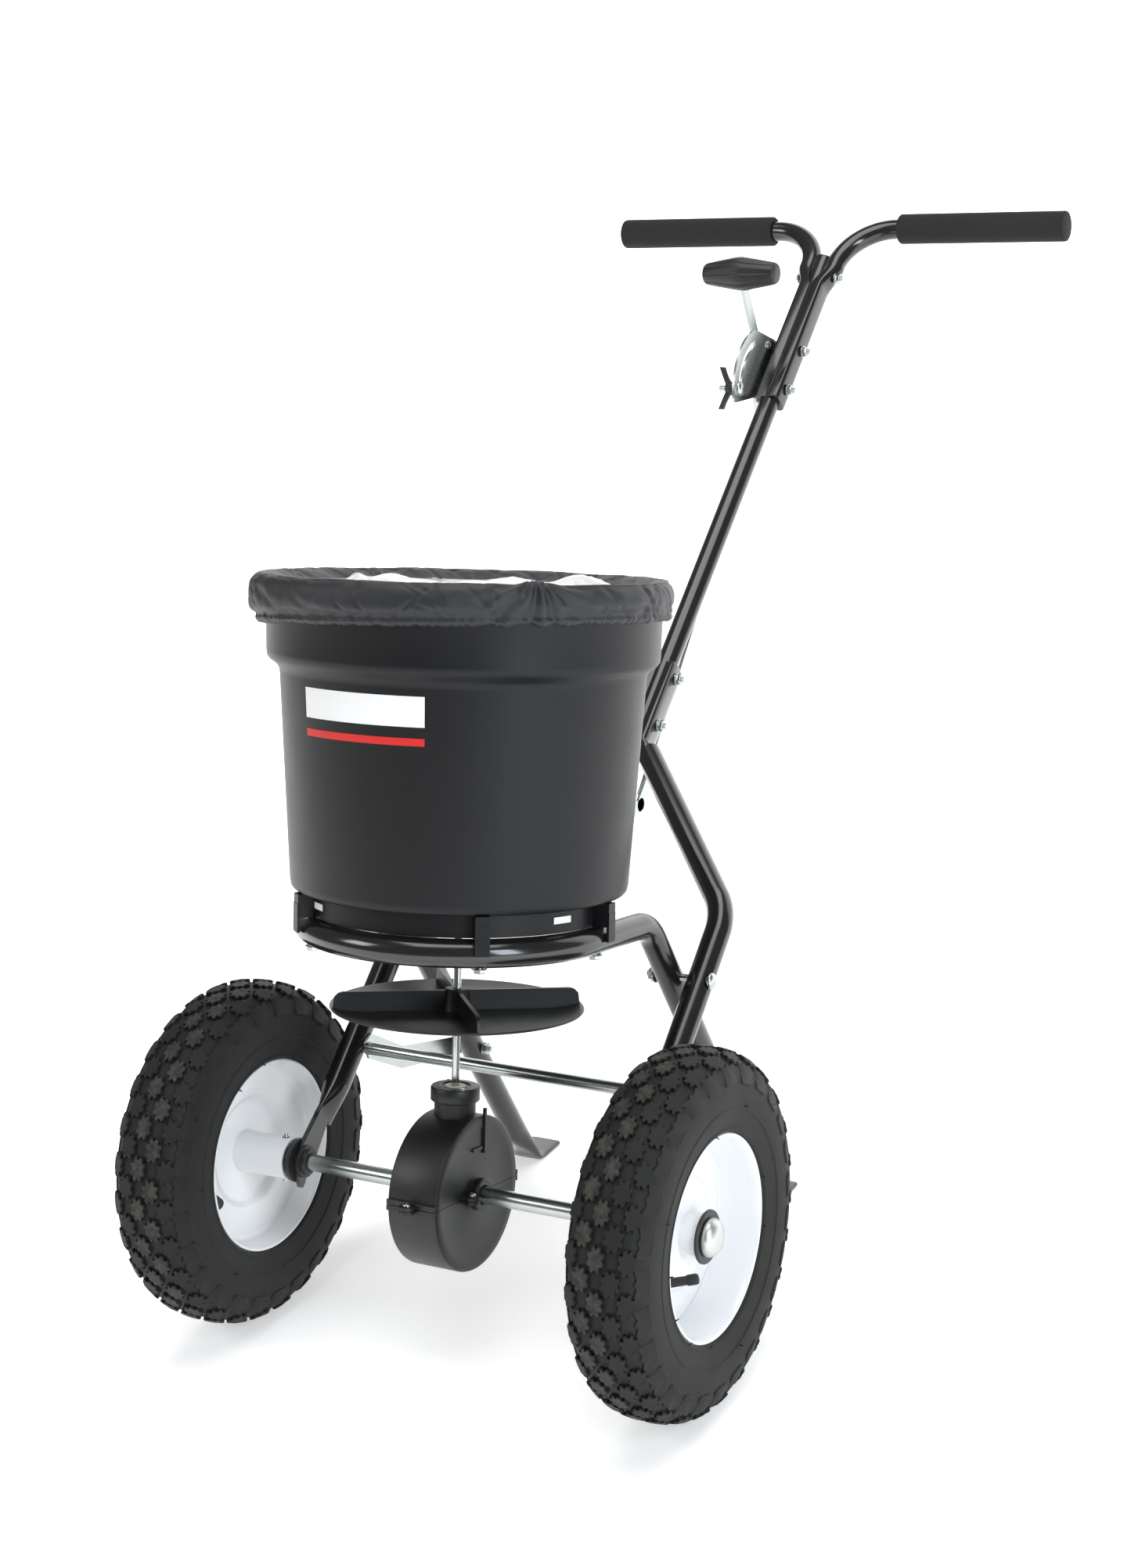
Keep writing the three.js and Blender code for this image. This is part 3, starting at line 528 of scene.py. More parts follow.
def star(size_u, size_v, lobes=8):
    """The toothed outline of one tread block."""
    out = []
    for k in range(lobes):
        middle = 2 * math.pi * k / lobes + math.pi / lobes
        for turn, reach in ((-0.30, 0.76), (-0.15, 1.0), (0.15, 1.0), (0.30, 0.76)):
            a = middle + turn
            out.append((reach * size_u * math.cos(a), reach * size_v * math.sin(a)))
    return out


def tread_block(shape, outline, across, around, height, tops, radius=CROWN[0][1]):
    """One rubber block on the tread, whose top face has the paint tops."""
    count = len(outline)
    rings = []
    for rise, scale in ((-1.2, 1.0), (height - 0.5, 0.95), (height, 0.86)):
        ring = []
        for u, v in outline:
            ring.append(crown_point(across + v * scale, around + u * scale / radius, rise))
        rings.append(ring)
    points, faces = loft(rings)
    shape.add((points, [face for face in faces if len(face) == 4]))
    base = len(shape.points) - len(points)
    shape.faces.append([base + i for i in faces[-1]])
    shape.slots.append(tops)


def tyre(word, side, body):
    """The tyre with its blocks, and the moulding hairs left on its walls."""
    s = Shape()
    half = CROWN + SIDEWALL
    profile = [(r, -x) for x, r in reversed(half)] + [(r, x) for x, r in half[1:]]
    profile += [(90.6, 29), (90.6, -29)]
    s.add(lathe(profile, 216), placed((0, 0, 0), X))
    for k in range(PITCHES):
        turn = 2 * math.pi * k / PITCHES
        step = math.pi / PITCHES
        tread_block(s, star(12.4, 8.6), 0, turn, 3.5, 1)
        for sign in (-1, 1):
            tread_block(
                s,
                star(12.2, 8.8),
                sign * ROWS[0],
                turn + step,
                3.5,
                1 if sign * side < 0 else 0,
            )
            tread_block(s, star(12.6, 8.4), sign * ROWS[1], turn, 3.3, 0)
            lug = [
                (-14.5, -7.5), (-12, -9.5), (-4.5, -6.5), (0, -9), (4.5, -6.5), (12, -9.5),
                (14.5, -7.5), (13.2, 8), (10, 11), (-10, 11), (-13.2, 8),
            ]
            lug = [(u, sign * v) for u, v in lug]
            tread_block(s, lug if sign > 0 else lug[::-1], sign * LUGS, turn + step, 1.5, 0, radius=150)
    centre = Matrix.Translation((side * TRACK, 0, 0))
    for k in range(26):
        turn = 2 * math.pi * (k + rng.random() * 0.6) / 26
        sign = 1 if k % 2 else -1
        x, r = rng.choice(((34.6, 95.5), (34.8, 95), (37.6, 117), (35.5, 140)))
        foot = Vector((sign * x, r * math.cos(turn), r * math.sin(turn)))
        lean = Vector((sign * 1.0, rng.uniform(-0.5, 0.5), rng.uniform(-0.5, 0.5)))
        if r < 100:
            lean += Vector((0, -math.cos(turn), -math.sin(turn))) * 0.9
        s.add(
            lathe([(0, 0), (0.75, 0), (0.6, rng.uniform(1.5, 3.4)), (0.1, 4)], 6),
            placed(foot, lean.normalized()),
        )
    s.points = [centre @ p for p in s.points]
    s.piece(f"tyre_{word}_tread", body, [f"tyre_{word}"], [TYRE, DUSTY_TYRE], bevel=0, angle=32)


def wheel(side):
    """A tyre, its rim and valve, and the bushings and cap of one end of the axle."""
    word = "left" if side < 0 else "right"
    body = "drive_axle" if side < 0 else "free_wheel"
    tyre(word, side, body)
    centre = Vector((side * TRACK, 0, 0))
    out = X * side
    face = [
        (91.6, 33), (92.4, 31.6), (91.8, 29.4), (90.2, 28), (89.6, 20), (89.6, -20), (90.2, -28),
        (91.8, -29.4), (92.4, -31.6), (91.6, -33), (90, -33.2), (88.4, -31), (87.6, -24),
        (86.6, -14), (84.5, -10.6), (81, -9.4), (66, -9), (57, -8.2), (53.6, -6.6), (50.6, -2.6),
        (47.6, -0.8), (43, -0.2), (26, -0.2), (20, -0.8), (20, -57.6), (16.9, -57.6), (16.9, 21.4),
        (20, 21.4), (20, 4.4), (21.6, 3), (26, 2.4), (43, 2.4), (47.2, 1.6), (50, -0.6), (53, -4.2),
        (56.8, -5.8), (66, -6.4), (79.6, -6.8), (82.8, -7.2), (84.4, -8.4), (86, -6), (87, 6),
        (87.8, 24), (88.6, 31.2), (90, 33.2),
    ]
    rim = Shape().add(lathe(face, 160), placed(centre, out))
    # painted shade: thin black discs round the drive pin's ends stand in for the shade in the hub's pin
    # holes
    if side < 0:
        for up in (-1, 1):
            rim.add(rod(3.4, 0.5, 24), placed((DRIVE_PIN_X, 0, up * 19.9), Z * up), slot=1)
    rim.piece(f"rim_{word}_dish", body, [f"rim_{word}"], [WHITE_PAINT, RUBBER_AND_HOLE_SHADE], bevel=0.6)
    turn = math.radians(210)
    radial = Vector((0, math.cos(turn), math.sin(turn)))
    foot = centre - out * 16 + radial * 72.5
    tip = centre + out * 27 + radial * 52
    axis = (tip - foot).normalized()
    length = (tip - foot).length
    valve = Shape()
    valve.add(
        lathe(
            [(0, 0), (6.5, 0), (6, length * 0.35), (4.3, length * 0.62), (4, length), (0, length)],
            32,
        ),
        placed(foot, axis),
    )
    knurl = [(4.9 if i % 2 else 4.55, 2 * math.pi * i / 48) for i in range(48)]
    rings = []
    for h, scale in ((-0.2, 0.9), (0.4, 1), (8.2, 1), (9.6, 0.86), (10.4, 0.5)):
        rings.append([Vector((r * scale * math.cos(a), r * scale * math.sin(a), h)) for r, a in knurl])
    valve.add(loft(rings), placed(tip, axis))
    valve.piece(f"valve_{word}_stem", body, [f"valve_stem_{word}"], [RUBBER_AND_HOLE_SHADE], bevel=0.25)
    sleeve = [
        (8.3, -13), (16.6, -13), (16.6, 0.3), (23.6, 0.3), (24, 0.8), (24, 2.4), (23.4, 3.1),
        (8.3, 3.1),
    ]
    bush = Shape().add(lathe(sleeve, 72), placed(centre + out * (HUB_OUT - TRACK), out))
    bush.piece(f"hub_bushing_{word}_disc", body, [f"hub_bushing_{word}"], [PLASTIC], bevel=0.3)
    dome = [
        (8.1, -3), (8.1, 0), (16.6, 0), (17.4, 0.5), (17.5, 1.6), (17.1, 4), (15.8, 6.3), (13.2, 8.6),
        (9.5, 10.2), (5, 11.1), (0, 11.4),
    ]
    cap = Shape().add(lathe(dome, 96), placed(centre + out * (CAP_IN - TRACK), out))
    cap.piece(f"axle_cap_{word}_dome", "drive_axle", [f"axle_cap_{word}"], [DOME_ZINC], bevel=0)
    bushing = [
        (8.3, -6), (11.6, -6), (12, -5.4), (12, -2), (15.5, -2), (15.5, 1), (12, 1), (12, 5.2),
        (21, 5.2), (21, 9.6), (20.4, 10.4), (15, 10.6), (13, 13), (8.3, 13.4),
    ]
    b = Shape().add(lathe(bushing, 64), placed((side * BUSHING_X, 0, 0), out))
    b.piece(f"axle_bushing_{word}_flange", "frame", [f"axle_bushing_{word}"], [PLASTIC], bevel=0.4)


wheel(-1)
wheel(1)

axle_line = [
    (0, 0), (7.4, 0), (8, 0.6), (8, 2 * AXLE_END - 0.6), (7.4, 2 * AXLE_END), (0, 2 * AXLE_END),
]
axle = Shape().add(lathe(axle_line, 48), placed((-AXLE_END, 0, 0), X))
axle.piece("axle_shaft", "drive_axle", ["axle"], [ZINC], bevel=0)
pin = Shape().add(
    lathe([(0, -23), (2.2, -23), (2.5, -22.4), (2.5, 22.4), (2.2, 23), (0, 23)], 24),
    placed((DRIVE_PIN_X, 0, 0), Z),
)
pin.piece("drive_pin_roll", "drive_axle", ["drive_pin"], [ZINC], bevel=0)


# ---------------------------------------------------------------- frame tubes
RING_R, RING_Z = 136.5, 247
FRONT_TUBE_X = 167.6
FRAME_BOLT = (180.6, 153, 190.5)
STRAP_BOLT = (154.8, 262, 64)
BRACE = (88, 94)
BRACE_END = 154.3
FOOT = Vector((140.5, 384, -80))
SHIN = Vector((0, -0.6506, 0.7594))
LEVEL = Vector((0, math.cos(TILT), math.sin(TILT)))


def leg_path(side):
    """From a shin up to the ring under the hopper."""
    shin = Vector((side * FOOT.x, FOOT.y, FOOT.z)) + SHIN * 46
    return bend([shin, (side * 137.5, 104, RING_Z), (side * RING_R, 0, RING_Z)], [42])


ring = leg_path(-1)
for i in range(1, 72):
    a = math.pi + math.pi * i / 72
    ring.append(Vector((RING_R * math.cos(a), RING_R * math.sin(a), RING_Z)))
ring += leg_path(1)[::-1]
support = Shape().add(sweep(ring, TUBE_R, 32))
for side in (-1, 1):
    foot = Vector((side * FOOT.x, FOOT.y, FOOT.z))
    path, sizes = [], []
    for k in range(11):
        t = k / 10
        ease = t * t * (3 - 2 * t)
        path.append(foot + SHIN * (47 * (1 - t) + 1.5 * t))
        wide, thick = TUBE_R + (17.6 - TUBE_R) * ease, TUBE_R + (2.5 - TUBE_R) * ease
        sizes.append((wide, thick, 1.0 - 0.55 * ease))
    for k in range(1, 6):
        path.append(foot + LEVEL * (-1 + 8 * k))
        sizes.append((17.8, 2.5, 0.4))
    support.add(flattened(path, sizes, X))
support.piece("support_tube_bent", "frame", ["support_tube"], [BLACK_PAINT], bevel=0.6, angle=50)


def saddle_ring(side, up, blend, radius, centre_x, half_back=13.5, outer=16.4, wrap=68):
    """A section that hugs the handle tube over wrap degrees each way, easing into a round tube
    as blend goes to 0."""
    ring, count = [], 40
    for i in range(count):
        a = 2 * math.pi * i / count
        round_x, round_b = centre_x + radius * math.cos(a), radius * math.sin(a)
        c, s = math.cos(a), math.sin(a)
        if c >= 0:
            flat_x = 7.5 + (outer - 7.5) * min(1, abs(c) ** 0.45)
            flat_b = half_back * math.copysign(abs(s) ** 0.6, s)
        else:
            inner = 11.5
            reach = math.radians(wrap) * (1 if s >= 0 else -1) * (abs(s) ** 0.9)
            flat_x, flat_b = inner * math.cos(reach), inner * math.sin(reach)
        x = round_x + (flat_x - round_x) * blend
        ring.append(on_handle(side * x, up, round_b + (flat_b - round_b) * blend))
    return ring if side > 0 else ring[::-1]


def end_plate(side, thick):
    """The flattened lower end: a rounded plate with a pointed tip below the axle."""
    tip = [(-9, -17), (-5.5, -24.5), (-3.5, -25.2), (0, -22)]
    outline = [
        (42, 38), (31, 51), (-9.5, 10.5),
    ] + arc((0, 0), 14.8, 145, 205, 5) + tip + arc((0, 0), 14.8, 282, 330, 5)
    hole = arc((0, 0), 12, 0, 350, 35)
    return plate(outline, side * 167 - thick / 2, side * 167 + thick / 2, [hole])


for side in (-1, 1):
    word = "left" if side < 0 else "right"
    start = on_handle(side * 17.5, -34)
    elbow = Vector((side * FRONT_TUBE_X, 204, 246))
    heel = Vector((side * FRONT_TUBE_X, 56, 62))
    tube = Shape().add(sweep(bend([start, elbow, heel], [62], 20), TUBE_R, 32))
    rings = []
    for k in range(9):
        t = k / 8
        ease = t * t * (3 - 2 * t)
        rings.append(saddle_ring(side, -35 + 12 * t, ease, TUBE_R, 17.5))
    rings.append(saddle_ring(side, 68, 1, TUBE_R, 17.5))
    rings.append(saddle_ring(side, 72, 1, TUBE_R, 17.5, 11.5, 15.2))
    tube.add(loft(rings))
    path, sizes = [], []
    for k in range(11):
        t = k / 10
        ease = t * t * (3 - 2 * t)
        path.append(Vector((side * (FRONT_TUBE_X - 0.6 * ease), 57 - 24 * t, 63.3 - 30 * t)))
        sizes.append((TUBE_R + (2.5 - TUBE_R) * ease, TUBE_R + (14 - TUBE_R) * ease, 1.0 - 0.45 * ease))
    tube.add(flattened(path, sizes, X))
    tube.add(end_plate(side, 5))
    for lift in (-4.5, 4.5):
        flute = []
        for y, z in ((60, 67), (50, 54.5), (38, 39.6), (22, 19.8)):
            flute.append(Vector((side * 169.6, y + lift * 0.78, z - lift * 0.63)))
        tube.add(sweep(flute, 1.5, 10))
    tube.piece(
        f"front_tube_{word}_bent",
        "frame",
        [f"front_tube_{word}"],
        [BLACK_PAINT],
        bevel=0.7,
        angle=50,
    )
    joggle = [(82, 100), (92, 108), (150, 84), (270, 73), (272, 55), (148, 62), (88, 84)]
    strap = Shape().add(plate(joggle, side * 152.3, side * 154.5, [arc(BRACE, 6.3, 0, 345, 23)]))
    strap.piece(f"brace_strap_{word}_bar", "frame", [f"brace_strap_{word}"], [ZINC], bevel=0.5)
    bolt((side * FRAME_BOLT[0], *FRAME_BOLT[1:]), -X * side, 56, 4).piece(
        f"frame_bolt_{word}_set",
        "frame",
        [f"frame_bolt_{word}"],
        [ZINC],
        0.3,
    )
    bolt((side * STRAP_BOLT[0], *STRAP_BOLT[1:]), -X * side, 28.8, 3).piece(
        f"strap_bolt_{word}_set",
        "frame",
        [f"strap_bolt_{word}"],
        [ZINC],
        0.3,
    )

brace_line = [
    (0, 0), (5.4, 0), (6, 0.6), (6, 2 * BRACE_END - 0.6), (5.4, 2 * BRACE_END), (0, 2 * BRACE_END),
]
brace = Shape().add(lathe(brace_line, 40), placed((-BRACE_END, *BRACE), X))
brace.piece("brace_rod_round", "frame", ["brace_rod"], [ZINC], bevel=0)

# ---------------------------------------------------------------- handle
BAR_X = 15.5
BAR_LINE = (795, 927)
GRIP_X = 77.5
hollow = [
    (0, 6), (9.5, 6), (9.5, 0), (HANDLE_R - 0.4, 0), (HANDLE_R, 0.4), (HANDLE_R, 663.6),
    (HANDLE_R - 0.4, 664), (9.5, 664), (9.5, 650), (0, 650),
]
handle = Shape().add(lathe(hollow, 64), placed(on_handle(0, -24), HANDLE_UP))
handle.piece("handle_tube_round", "frame", ["handle_tube"], [BLACK_PAINT], bevel=0)
for side in (-1, 1):
    word = "left" if side < 0 else "right"
    corner = Vector((side * BAR_X, *BAR_LINE))
    low = on_handle(side * BAR_X, 626)
    end = Vector((side * 266, *BAR_LINE))
    bar = Shape().add(sweep(bend([low, corner, end], [58], 24), HANDLE_R, 32))
    shell = (HANDLE_R, BAR_X, 13.2, 14.6, 84)
    edge = (HANDLE_R, BAR_X, 12.4, 13.8, 84)
    rings = [saddle_ring(side, 429, 1, *edge), saddle_ring(side, 431, 1, *shell)]
    rings.append(saddle_ring(side, 594, 1, *shell))
    for k in range(1, 9):
        t = k / 8
        ease = 1 - t * t * (3 - 2 * t)
        rings.append(saddle_ring(side, 594 + 34 * t, ease, *shell))
    bar.add(loft(rings))
    bar.piece(
        f"handlebar_{word}_bent",
        "frame",
        [f"handlebar_{word}"],
        [BLACK_PAINT],
        bevel=0.7,
        angle=50,
    )
    foam = [
        (HANDLE_R + 0.2, 0.5), (15.2, 0), (16.2, 1.0), (16.5, 2.4), (16.5, 190.6), (16.0, 192.2),
        (14.6, 193), (0, 193),
    ]
    grip = Shape().add(lathe(foam, 72, closed=False), placed((side * GRIP_X, *BAR_LINE), X * side))
    grip.piece(f"grip_{word}_foam", "frame", [f"grip_{word}"], [FOAM], bevel=0)
for i, name in enumerate(("lever_pivot_bolt", "handlebar_bolt_middle", "handlebar_bolt_top")):
    start, stop = ((-22.9, 16.4), (-19.1, 16.4), (-21.5, 21.5))[i]
    bolt(
        on_handle(start, UPPER_BOLTS[i]),
        X,
        stop - start,
        3,
    ).piece(f"{name}_set", "frame", [name], [ZINC], 0.3)
for i, name in enumerate(("handle_bolt_lower", "handle_bolt_upper")):
    bolt(
        on_handle(-16.8, LOWER_BOLTS[i]),
        X,
        33.6,
        3,
    ).piece(f"{name}_set", "frame", [name], [ZINC], 0.3)

# ---------------------------------------------------------------- feed control
pivot = on_handle(0, UPPER_BOLTS[0])
PIVOT = (pivot.y, pivot.z)
SLOT_R = 52.5


def about(radius, degrees):
    """A (y, z) point round the lever's pivot."""
    return (
        PIVOT[0] + radius * math.cos(math.radians(degrees)),
        PIVOT[1] + radius * math.sin(math.radians(degrees)),
    )


hole = on_handle(0, UPPER_BOLTS[1])
slot = arc(PIVOT, SLOT_R + 3.4, 110, 185, 24) + arc(about(SLOT_R, 185), 3.4, 185, 365, 6)[1:-1]
slot += arc(PIVOT, SLOT_R - 3.4, 185, 110, 24)
outline = arc(PIVOT, 67, 106, 186, 28) + arc(
    about(60, 189),
    7,
    190,
    240,
    4,
) + [about(16, 212)] + arc(PIVOT, 13, 225, 320, 8)
outline += [(hole.y + 9, hole.z - 8), (hole.y + 9, hole.z + 9), (hole.y - 6, hole.z + 13)]
quadrant = Shape().add(plate(outline, -18.8, -16.4, [slot]))
rivet = about(51.5, 73)
quadrant.add(rod(2.5, 8, 24), placed((-24, *rivet), X))
quadrant.add(
    lathe([(0, 0), (4.6, 0), (4.4, 1.6), (2.6, 2.8), (0, 3.1)], 32),
    placed((-16.6, *rivet), X),
)
quadrant.piece("quadrant_plate_slotted", "frame", ["quadrant_plate"], [ZINC], bevel=0.4)

stop = about(SLOT_R, 180)
carriage = Shape().add(
    lathe([(0, 0), (8, 0), (8, 0.6), (7, 2.4), (4, 3.6), (0, 3.7)], 40),
    placed((-16.3, *stop), X),
)
carriage.add(rod(3, 24, 24), placed((-40, *stop), X))
carriage.piece("stop_bolt_carriage", "stop_carriage", ["stop_bolt"], [ZINC], bevel=0.2)
wing = Shape().add(
    lathe([(3.3, 0), (6.4, 0), (7.5, 4), (7.5, 11.6), (7.0, 12.2), (3.3, 12.2)], 40),
    placed((-31.8, *stop), X),
)
for up in (-1, 1):
    rings = []
    for k in range(9):
        t = k / 8
        middle = Vector((-29 - 11.5 * t + 3 * t * t, stop[0], stop[1] + up * (4 + 18.6 * t)))
        wide = 6.3 - 1.2 * math.sin(math.pi * t) + 0.4 * t
        thick = 3.4 - 1.1 * t
        ring = []
        for i in range(20):
            a = 2 * math.pi * i / 20
            ring.append(middle + Y * (wide * math.cos(a)) + X * (thick * math.sin(a)))
        rings.append(ring)
    wing.add(loft(rings))
wing.piece("wing_nut_plastic", "stop_wing", ["wing_nut"], [PLASTIC], bevel=0.6)

LEVER = (-22.6, -19.6)
knee = (PIVOT[0] + 4, PIVOT[1] + 38)
grip_at = (590.5, 865)
arm_angle = math.degrees(math.atan2(HANDLE_BACK.z, HANDLE_BACK.y)) - 33
arm_end = about(40.5, arm_angle)
lever = Shape()
for a, b, half in ((PIVOT, knee, 6.5), (knee, grip_at, 6.5)):
    lever.add(plate(strip(a, b, half), *LEVER))
lever.add(plate(strip(PIVOT, arm_end, 7.5), *LEVER, [strip(about(33, arm_angle), arm_end, 3.4)]))
lever.add(plate(arc(PIVOT, 10, 0, 350, 35), LEVER[0] - 0.02, LEVER[1] + 0.02))
lever.piece("control_lever_bar", "feed_lever", ["control_lever"], [ZINC], bevel=0.4)
half_knob = [(3, 18), (8, 17.3), (24, 14.6), (38, 12.1), (40.4, 11.2), (41.6, 10.3), (42, 9.4)]
rings = []
for h, r in [(-h, r) for h, r in reversed(half_knob)] + half_knob:
    ring = []
    for i in range(96):
        a = 2 * math.pi * i / 96
        cut = 0.0 if abs(h) > 39 else 1.5 * max(
            0,
            math.cos(8 * a),
        ) ** 0.7 * (0.35 + 0.65 * min(1, (39 - abs(h)) / 10))
        ring.append(Vector(((r - cut) * math.cos(a), (r - cut) * math.sin(a), h)))
    rings.append(ring)
knob = Shape().add(loft(rings), placed((-21.1, *grip_at), X))
knob.add(lathe([(0, 0), (5.2, 0), (5.2, 0.4), (3, 0.5), (0, 0.5)], 32), placed((20.7, *grip_at), X))
knob.piece("lever_knob_ribbed", "feed_lever", ["lever_knob"], [PLASTIC], bevel=0.3, angle=60)

hook = Vector((-26, *arm_end))
rod_top = hook - HANDLE_UP * 16
nut_at = on_handle(2, -22, 34)
line = (nut_at - rod_top).normalized()
feed = Shape().add(sweep([hook + HANDLE_UP * 0.5, rod_top - line * 2, rod_top + line * 6], 3, 24))
feed.add(sweep([rod_top, nut_at - line * 1.6], 3, 24))
feed.add(
    lathe([(0, 0)] + [(2.15 + 0.3 * (i % 2), i * 0.5) for i in range(1, 90)] + [(0, 45)], 20),
    placed(nut_at - line * 3, line),
)
feed.add(rod(2.4, 8, 24), placed((-27, *arm_end), X))
feed.piece("control_rod_steel", "feed_rod", ["control_rod"], [ZINC], bevel=0.2)
nut = Shape().add(
    lathe([(2.5, 0), (5.2, 0), (5.6, 0.7), (5.6, 4.6), (5.2, 5.3), (2.5, 5.3)], 6),
    placed(nut_at + line * 1.7, line),
)
nut.piece("rod_nut_hex", "feed_rod", ["rod_nut"], [ZINC], bevel=0.3)
link_knee = (nut_at.y - 34, nut_at.z - 40)
YOKE = (196, 276)
link = Shape().add(
    lathe([(2.7, 0), (12, 0), (12, 2.6), (2.7, 2.6)], 40),
    placed(nut_at - line * 1.2, line),
)
link.add(plate(strip((nut_at.y + 2, nut_at.z + 4), link_knee, 8), 9, 11.4))
link.add(plate(strip(link_knee, YOKE, 6.5), 9, 11.4))
link.add(rod(2.5, 17, 24), placed((-6, *YOKE), X))
link.piece("shutter_link_bent", "feed_rod", ["shutter_link"], [ZINC], bevel=0.4)


# ---------------------------------------------------------------- hopper
WALL_LOW, WALL_HIGH = (152.2, 289), (163.4, 474)
BOLT_PLACES = {-51: "front_right", -129: "front_left", 3: "side_right", 177: "side_left"}


def hopper():
    """The tub, its skirt and feet, the rails under its floor, and white patches of painted light on the
    skirt.
    """
    wall = [
        (147, 281.2), (149.4, 281.8), (151.2, 283.8), WALL_LOW, WALL_HIGH, (164.2, 478), (167, 482),
        (172.6, 486), (174.8, 489), (175.4, 494), (176.3, 548), (177.4, 550.6), (178.6, 551.6),
        (178.8, 556), (178, 557), (172.4, 557), (172, 550), (171.4, 496), (170, 490), (163, 485),
        (160.4, 478), (148.9, 290), (147.6, 286.4), (144, 285), (118.4, 284.6), (63, 268), (5, 268),
        (5, 264.2), (64, 264.2), (118, 281),
    ]
    s = Shape().add(lathe(wall, 192))
    s.add(lathe([(133.8, 260.2), (137, 260.2), (137, 282), (133.8, 282)], 144))
    for degrees in BOLT_PLACES:
        turn = Matrix.Rotation(math.radians(degrees), 4, "Z")
        s.add(block(19, 13, 21), turn @ Matrix.Translation((143, 0, 270.8)))
        s.add(block(2.6, 13, 26), turn @ Matrix.Translation((151.6, 0, 260)))
    for side in (-1, 1):
        s.add(block(2.4, 200, 6.4), Matrix.Translation((side * 33, 0, 262)))
        s.add(block(6, 200, 1.6), Matrix.Translation((side * 31.2, 0, 259.8)))
    # painted light: thin white patches on the skirt's wall stand in for light seen through openings in
    # the skirt
    for degrees in (-18, -162, -123):
        turn = Matrix.Rotation(math.radians(degrees), 4, "Z")
        s.add(block(0.6, 20, 6), turn @ Matrix.Translation((137.1, 0, 271.5)), slot=1)
    s.piece("hopper_tub", "frame", ["hopper"], [HOPPER, PRINT_AND_PAINTED_LIGHT_WHITE], bevel=0.8)


hopper()


def label(name, z0, z1, a0, a1, paint):
    """A printed patch lying on the hopper's wall."""
    across, points, faces = 40, [], []
    for i in range(across + 1):
        for z in (z0, z1):
            a = math.radians(a0 + (a1 - a0) * i / across)
            share = (z - WALL_LOW[1]) / (WALL_HIGH[1] - WALL_LOW[1])
            r = WALL_LOW[0] + (WALL_HIGH[0] - WALL_LOW[0]) * share + 0.25
            points.append(Vector((r * math.cos(a), r * math.sin(a), z)))
    for i in range(across):
        k = 2 * i
        faces.append((k, k + 2, k + 3, k + 1))
    obj = new_object(name, [MACHINE @ p for p in points], faces, [paint])
    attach(obj, "frame")


label("label_panel", 442, 468, -114.5, -70, PRINT_AND_PAINTED_LIGHT_WHITE)
label("label_bar", 426, 432.5, -114.5, -70, LABEL_RED)

for degrees, place in BOLT_PLACES.items():
    a = math.radians(degrees)
    at = (RING_R * math.cos(a), RING_R * math.sin(a), 234)
    s = Shape().add(
        lathe([(0, -4.4), (4.6, -4.4), (5.6, -3.9), (5.8, -0.2), (0, -0.2)], 6),
        placed(at, Z, a),
    )
    s.add(lathe([(0, -1), (7, -1), (7, 0), (0, 0)], 40), placed(at, Z))
    s.add(rod(3, 43, 20), placed((at[0], at[1], 232), Z))
    s.piece(f"hopper_bolt_{place}_hex", "frame", [f"hopper_bolt_{place}"], [ZINC], bevel=0.3)


# ---------------------------------------------------------------- rain cover
NEAR, LEFT, GATHER = math.radians(-58.7), math.radians(-151), math.radians(-40)
# creases: angle, half width in radians, depth in mm, skew
CREASE_SPANS = ((-math.pi, math.pi), (0.015, 0.05), (0.5, 1.5), (-0.008, 0.008))
CREASES = [[rng.uniform(*span) for span in CREASE_SPANS] for _ in range(30)]
CREASES.append((math.radians(-141), 0.04, 2.6, 0.004))
# clear window puffs: place across and along the line of sight, their spreads, height
PUFFS = (
    (104, -5, 28, 60, 15), (42, 30, 24, 60, 9), (-71, 50, 19, 55, 8.5), (-101, 40, 8, 40, 8),
    (-147, 10, 14, 30, 10),
)


def turned(a, b):
    """The turn from b to a, within half a turn either way."""
    return (a - b + math.pi) % (2 * math.pi) - math.pi


def smooth(t):
    t = min(1, max(0, t))
    return t * t * (3 - 2 * t)


def cover_section(a):
    """(radius, height) stations from the tucked hem, over the rim, to the edge of the window."""
    left, near = math.cos(a - LEFT), math.cos(a - NEAR)
    hem = 521.5 - 4.5 * left + 8.5 * max(near, 0) ** 0.7
    crest = 561.4 + 2.8 * near + 1.3 * noise.noise(Vector((2.2 * math.cos(a), 2.2 * math.sin(a), 4)))
    crest += 3.0 * math.exp(-((turned(a, GATHER) / 0.07) ** 2))
    bulge = 188.6 + 2.7 * left
    return [
        (177.4, hem + 1.6), (178.6, hem - 0.4), (181.0, hem - 1.2), (183.4, hem + 0.2),
        (184.8, hem + 2.8), (184.3, hem + 5.6), (185.2, hem + 8.0), (bulge - 1.3, hem + 11.5),
        (bulge, hem * 0.55 + crest * 0.45), (bulge, hem * 0.4 + crest * 0.6),
        (bulge - 0.8, crest - 9), (bulge - 2.7, crest - 4.8), (bulge - 5.8, crest - 1.7),
        (180, crest), (175, crest - 0.3), (170, crest - 1.8), (164, crest - 5), (157, crest - 8.5),
    ]


def spline(stations, steps):
    """Round curve through the stations."""
    out = []
    for k in range(len(stations) - 1):
        p = [Vector(stations[min(max(k + d, 0), len(stations) - 1)]) for d in (-1, 0, 1, 2)]
        for i in range(steps):
            t = i / steps
            square = 2 * p[0] - 5 * p[1] + 4 * p[2] - p[3]
            cube = 3 * p[1] - p[0] - 3 * p[2] + p[3]
            out.append(0.5 * (2 * p[1] + (p[2] - p[0]) * t + square * t * t + cube * t ** 3))
    return out + [Vector(stations[-1])]


